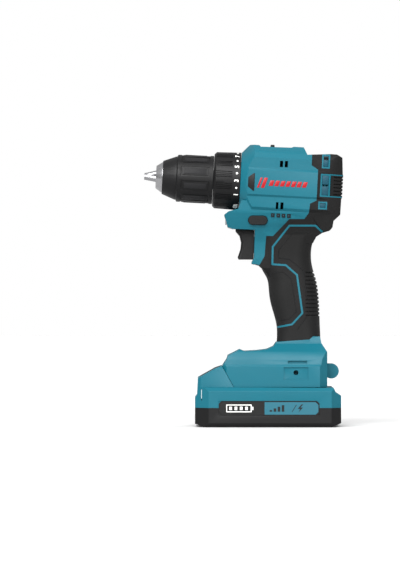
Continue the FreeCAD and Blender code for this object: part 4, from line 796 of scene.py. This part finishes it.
@dataclass
class BatteryPack:
    """The slide-on battery."""

    edge: float = 0.7
    rim: float = 0.9

    def build(self) -> None:
        """Build the tray, cover, latch button and labels."""
        refined("battery_tray", Finish.NYLON, self.edge)
        refined("battery_cover", Finish.TEAL_ABS, self.edge)
        refined("release_button", Finish.ACETAL, 0.3)
        self.labels()

    def labels(self) -> None:
        """The two-colour labels with pictograms, one on each side."""
        low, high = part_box("battery_labels")
        x0, x1, z0, z1 = (v / MM for v in (low.x, high.x, low.z, high.z))
        face = high.y / MM
        cut = 2.2
        middle = x0 + (x1 - x0) * 0.455

        def outline(a: float, b: float, inset: float, left: bool, right: bool) -> list[Point]:
            """A label field, with its outer corners cut."""
            bottom, top = z0 + inset, z1 - inset
            points = []
            points += [(a + cut, bottom)] if left else [(a, bottom)]
            points += [(b - cut, bottom), (b, bottom + cut)] if right else [(b, bottom)]
            points += [(b, top - cut), (b - cut, top)] if right else [(b, top)]
            points += [(a + cut, top), (a, top - cut), (a, bottom + cut)] if left else [(a, top)]
            return points

        fields = (
            ("label_rim", Finish.NYLON, outline(x0, x1, 0, True, True), -0.8, -0.2),
            ("label_dark", Finish.FILM_DARK, outline(x0 + self.rim, middle, self.rim, True, False),
             -0.6, -0.08),
            ("label_teal", Finish.FILM_TEAL, outline(middle + 0.02, x1 - self.rim, self.rim, False, True),
             -0.6, -0.08),
        )
        for name, finish, points, back, front in fields:
            mesh = both_sides(plate(points, face + back, face + front))
            bmesh.ops.transform(mesh, matrix=TO_MM, verts=mesh.verts)
            piece = finish_piece(name, mesh, finish, "battery_body")
            if name == "label_rim":
                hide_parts("battery_labels")
        self.pictograms(x0, middle, x1, (z0 + z1) / 2, face)

    def pictograms(self, x0: float, middle: float, x1: float, z: float, face: float) -> None:
        """White cell symbol on the dark field, black charge bars and a spark on the teal field."""
        def bar(a: float, b: float, c: float, d: float, lean: float = 0.0) -> bmesh.types.BMesh:
            """An upright or leaning bar from (a, c) to (b, d)."""
            return plate([(a, c), (b, c), (b + lean, d), (a + lean, d)], face - 0.2, face - 0.01)

        white = [bar(x0 + 6, x0 + 26, z + 2.4, z + 3.0), bar(x0 + 6, x0 + 26, z - 3.0, z - 2.4),
                 bar(x0 + 6, x0 + 6.6, z - 2.4, z + 2.4), bar(x0 + 25.4, x0 + 26, z - 2.4, z + 2.4),
                 bar(x0 + 26, x0 + 27.4, z - 1.2, z + 1.2)]
        white += [bar(x0 + 8.4 + 4.2 * k, x0 + 10.4 + 4.2 * k, z - 1.3, z + 1.3) for k in range(4)]
        foot = z - 2.6
        steps = [(middle + 4 + 3.2 * k, foot + 1.3 * (k + 1)) for k in range(4)]
        black = [bar(left, left + 2, foot, top) for left, top in steps]
        spark = [(3.2, 3.2), (0.2, -0.4), (2.2, -0.4), (0.8, -3.2), (4.4, 0.7), (2.3, 0.7), (4.6, 3.2)]
        black.append(plate([(middle + 26 + a, z + b) for a, b in spark], face - 0.2, face - 0.01))
        black.append(bar(x1 - 22, x1 - 21.4, z - 2.8, z + 2.8, 3.4))
        for name, finish, meshes in (("label_marks_white", Finish.INK_WHITE, white),
                                     ("label_marks_black", Finish.INK_BLACK, black)):
            mesh = both_sides(join(meshes))
            bmesh.ops.transform(mesh, matrix=TO_MM, verts=mesh.verts)
            finish_piece(name, mesh, finish, "battery_body")


@dataclass
class Inside:
    """Finishes of the pieces that show only through openings or in other poses."""

    finishes: dict[Finish, tuple[str, ...]] = field(default_factory=lambda: {
        Finish.NYLON: ("gear_case", "gearbox_plate", "switch_body", "cell_frames", "terminal_block", "fan"),
        Finish.GROUND_STEEL: ("housing_screws", "clutch_pins", "motor_shaft", "chuck_screw", "chuck_nut",
                              "spindle"),
        Finish.GEAR_STEEL: ("ball_bearings", "ring_gear_1", "ring_gear_2", "ring_gear_3", "carrier_1",
                            "carrier_2", "spring_seat", "shift_fork", "motor_stator", "motor_rotor")
        + tuple("planet_gear_%d%s" % (stage, letter) for stage in (1, 2, 3) for letter in "abc"),
        Finish.COPPER: ("motor_windings",),
        Finish.BOARD: ("motor_board", "battery_board", "lamp_board"),
        Finish.NICKEL: ("cell_straps",),
        Finish.CELL_WRAP: ("battery_cells",),
        Finish.LENS: ("charge_lights",),
    })

    def build(self) -> None:
        """Dress the CAD nodes that keep their own shape."""
        for finish, nodes in self.finishes.items():
            for node in nodes:
                data = frame["nodes"][node].data
                data.materials.clear()
                data.materials.append(finish.material())


@dataclass
class Springs:
    """The coil springs."""

    slack: float = 0.03
    pressed: tuple[tuple[str, str], ...] = (
        ("clutch_spring", "spring_seat_slide"), ("trigger_spring", "trigger_pull"),
        ("latch_spring", "release_button_press"))

    def build(self) -> None:
        """Build each spring as a plain steel copy with its own mesh."""
        for node, joint_name in self.pressed:
            piece = refined(node, Finish.GROUND_STEEL, 0)
            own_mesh(piece)


@dataclass
class Studio:
    """Pale floor, soft lights and a long-lens camera square to the drill's side."""

    frame_wide: float = 0.320
    view_centre: tuple[float, float, float] = (-0.054, 0.0, 0.1126)
    distance: float = 3.4
    sensor: float = 36.0
    room_low: float = 0.25
    room_high: float = 0.9

    def build(self) -> None:
        """Build floor, lights, world and camera."""
        self.floor()
        self.lights()
        self.surround()
        self.camera()
        bpy.context.scene.view_settings.view_transform = "Standard"

    def floor(self) -> None:
        """A wide plain floor under the battery."""
        mesh = bmesh.new()
        bmesh.ops.create_grid(mesh, x_segments=1, y_segments=1, size=6.0)
        bmesh.ops.translate(mesh, vec=(0, 0, CAD_BOX[0][2] - 0.0002), verts=mesh.verts)
        data = bpy.data.meshes.new("floor")
        mesh.to_mesh(data)
        mesh.free()
        material, tree = blank_material("pale_floor")
        shader = add_node(tree, "BsdfPrincipled", inputs={"Base Color": linear("c6c6c6"), "Roughness": 0.8})
        close_material(tree, shader)
        data.materials.append(material)
        floor = bpy.data.objects.new("floor", data)
        bpy.context.scene.collection.objects.link(floor)

    def lights(self) -> None:
        """A very soft key light from the upper front, and two fills."""
        for name, kind, place, size, power in (
                ("key", "SUN", (-0.2, -1.0, 0.84), 0.9, 6.2),
                ("front_left", "AREA", (-1.3, -1.3, 0.9), 0.7, 2.5),
                ("rear_strip", "AREA", (0.9, 1.2, 0.8), 0.8, 6.0)):
            data = bpy.data.lights.new(name, kind)
            if kind == "SUN":
                data.angle = size
            else:
                data.size = size
            data.energy = power
            lamp = bpy.data.objects.new(name, data)
            lamp.location = place
            aim = (Vector((0, 0, 0.1)) if kind == "SUN" else Vector(self.view_centre)) - Vector(place)
            lamp.rotation_euler = aim.to_track_quat("-Z", "Y").to_euler()
            bpy.context.scene.collection.objects.link(lamp)

    def surround(self) -> None:
        """A white backdrop, and a shaded room, bright overhead, for light and reflections."""
        world = bpy.data.worlds.new("studio")
        world.use_nodes = True
        tree = world.node_tree
        tree.nodes.clear()
        place = add_node(tree, "TexCoord").outputs["Generated"]
        height = add_node(tree, "SeparateXYZ", inputs={"Vector": place}).outputs["Z"]
        level = add_node(tree, "MapRange", inputs={
            "Value": height, "From Min": -0.15, "From Max": 0.85,
            "To Min": self.room_low, "To Max": self.room_high})
        room = add_node(tree, "Background", inputs={"Strength": level.outputs["Result"]})
        backdrop = add_node(tree, "Background", inputs={"Strength": 1.0})
        for shader in (room, backdrop):
            shader.inputs["Color"].default_value = (1.0, 1.0, 1.0, 1.0)
        seen = add_node(tree, "LightPath").outputs["Is Camera Ray"]
        mixed = add_node(tree, "MixShader", inputs={"Fac": seen})
        tree.links.new(room.outputs[0], mixed.inputs[1])
        tree.links.new(backdrop.outputs[0], mixed.inputs[2])
        add_node(tree, "OutputWorld", inputs={"Surface": mixed.outputs[0]})
        bpy.context.scene.world = world

    def camera(self) -> None:
        """A camera whose frame spans frame_wide metres at the drill."""
        data = bpy.data.cameras.new("camera")
        data.sensor_fit = "HORIZONTAL"
        data.sensor_width = self.sensor
        data.lens = self.sensor * self.distance / self.frame_wide
        data.clip_end = 50.0
        camera = bpy.data.objects.new("camera", data)
        camera.location = Vector(self.view_centre) - Vector((0, self.distance, 0))
        camera.rotation_euler = (math.radians(90), 0, 0)
        bpy.context.scene.collection.objects.link(camera)
        bpy.context.scene.camera = camera


def main() -> None:
    """Build the drill's looks in order."""
    logging.basicConfig(level=logging.INFO, format="%(message)s")
    Studio().build()
    for part in (Casing(), Chuck(), TorqueRing(), Controls(), BatteryPack(), Springs(), Inside()):
        part.build()
        LOG.info("built %s", type(part).__name__)


if __name__ == "__main__":
    main()
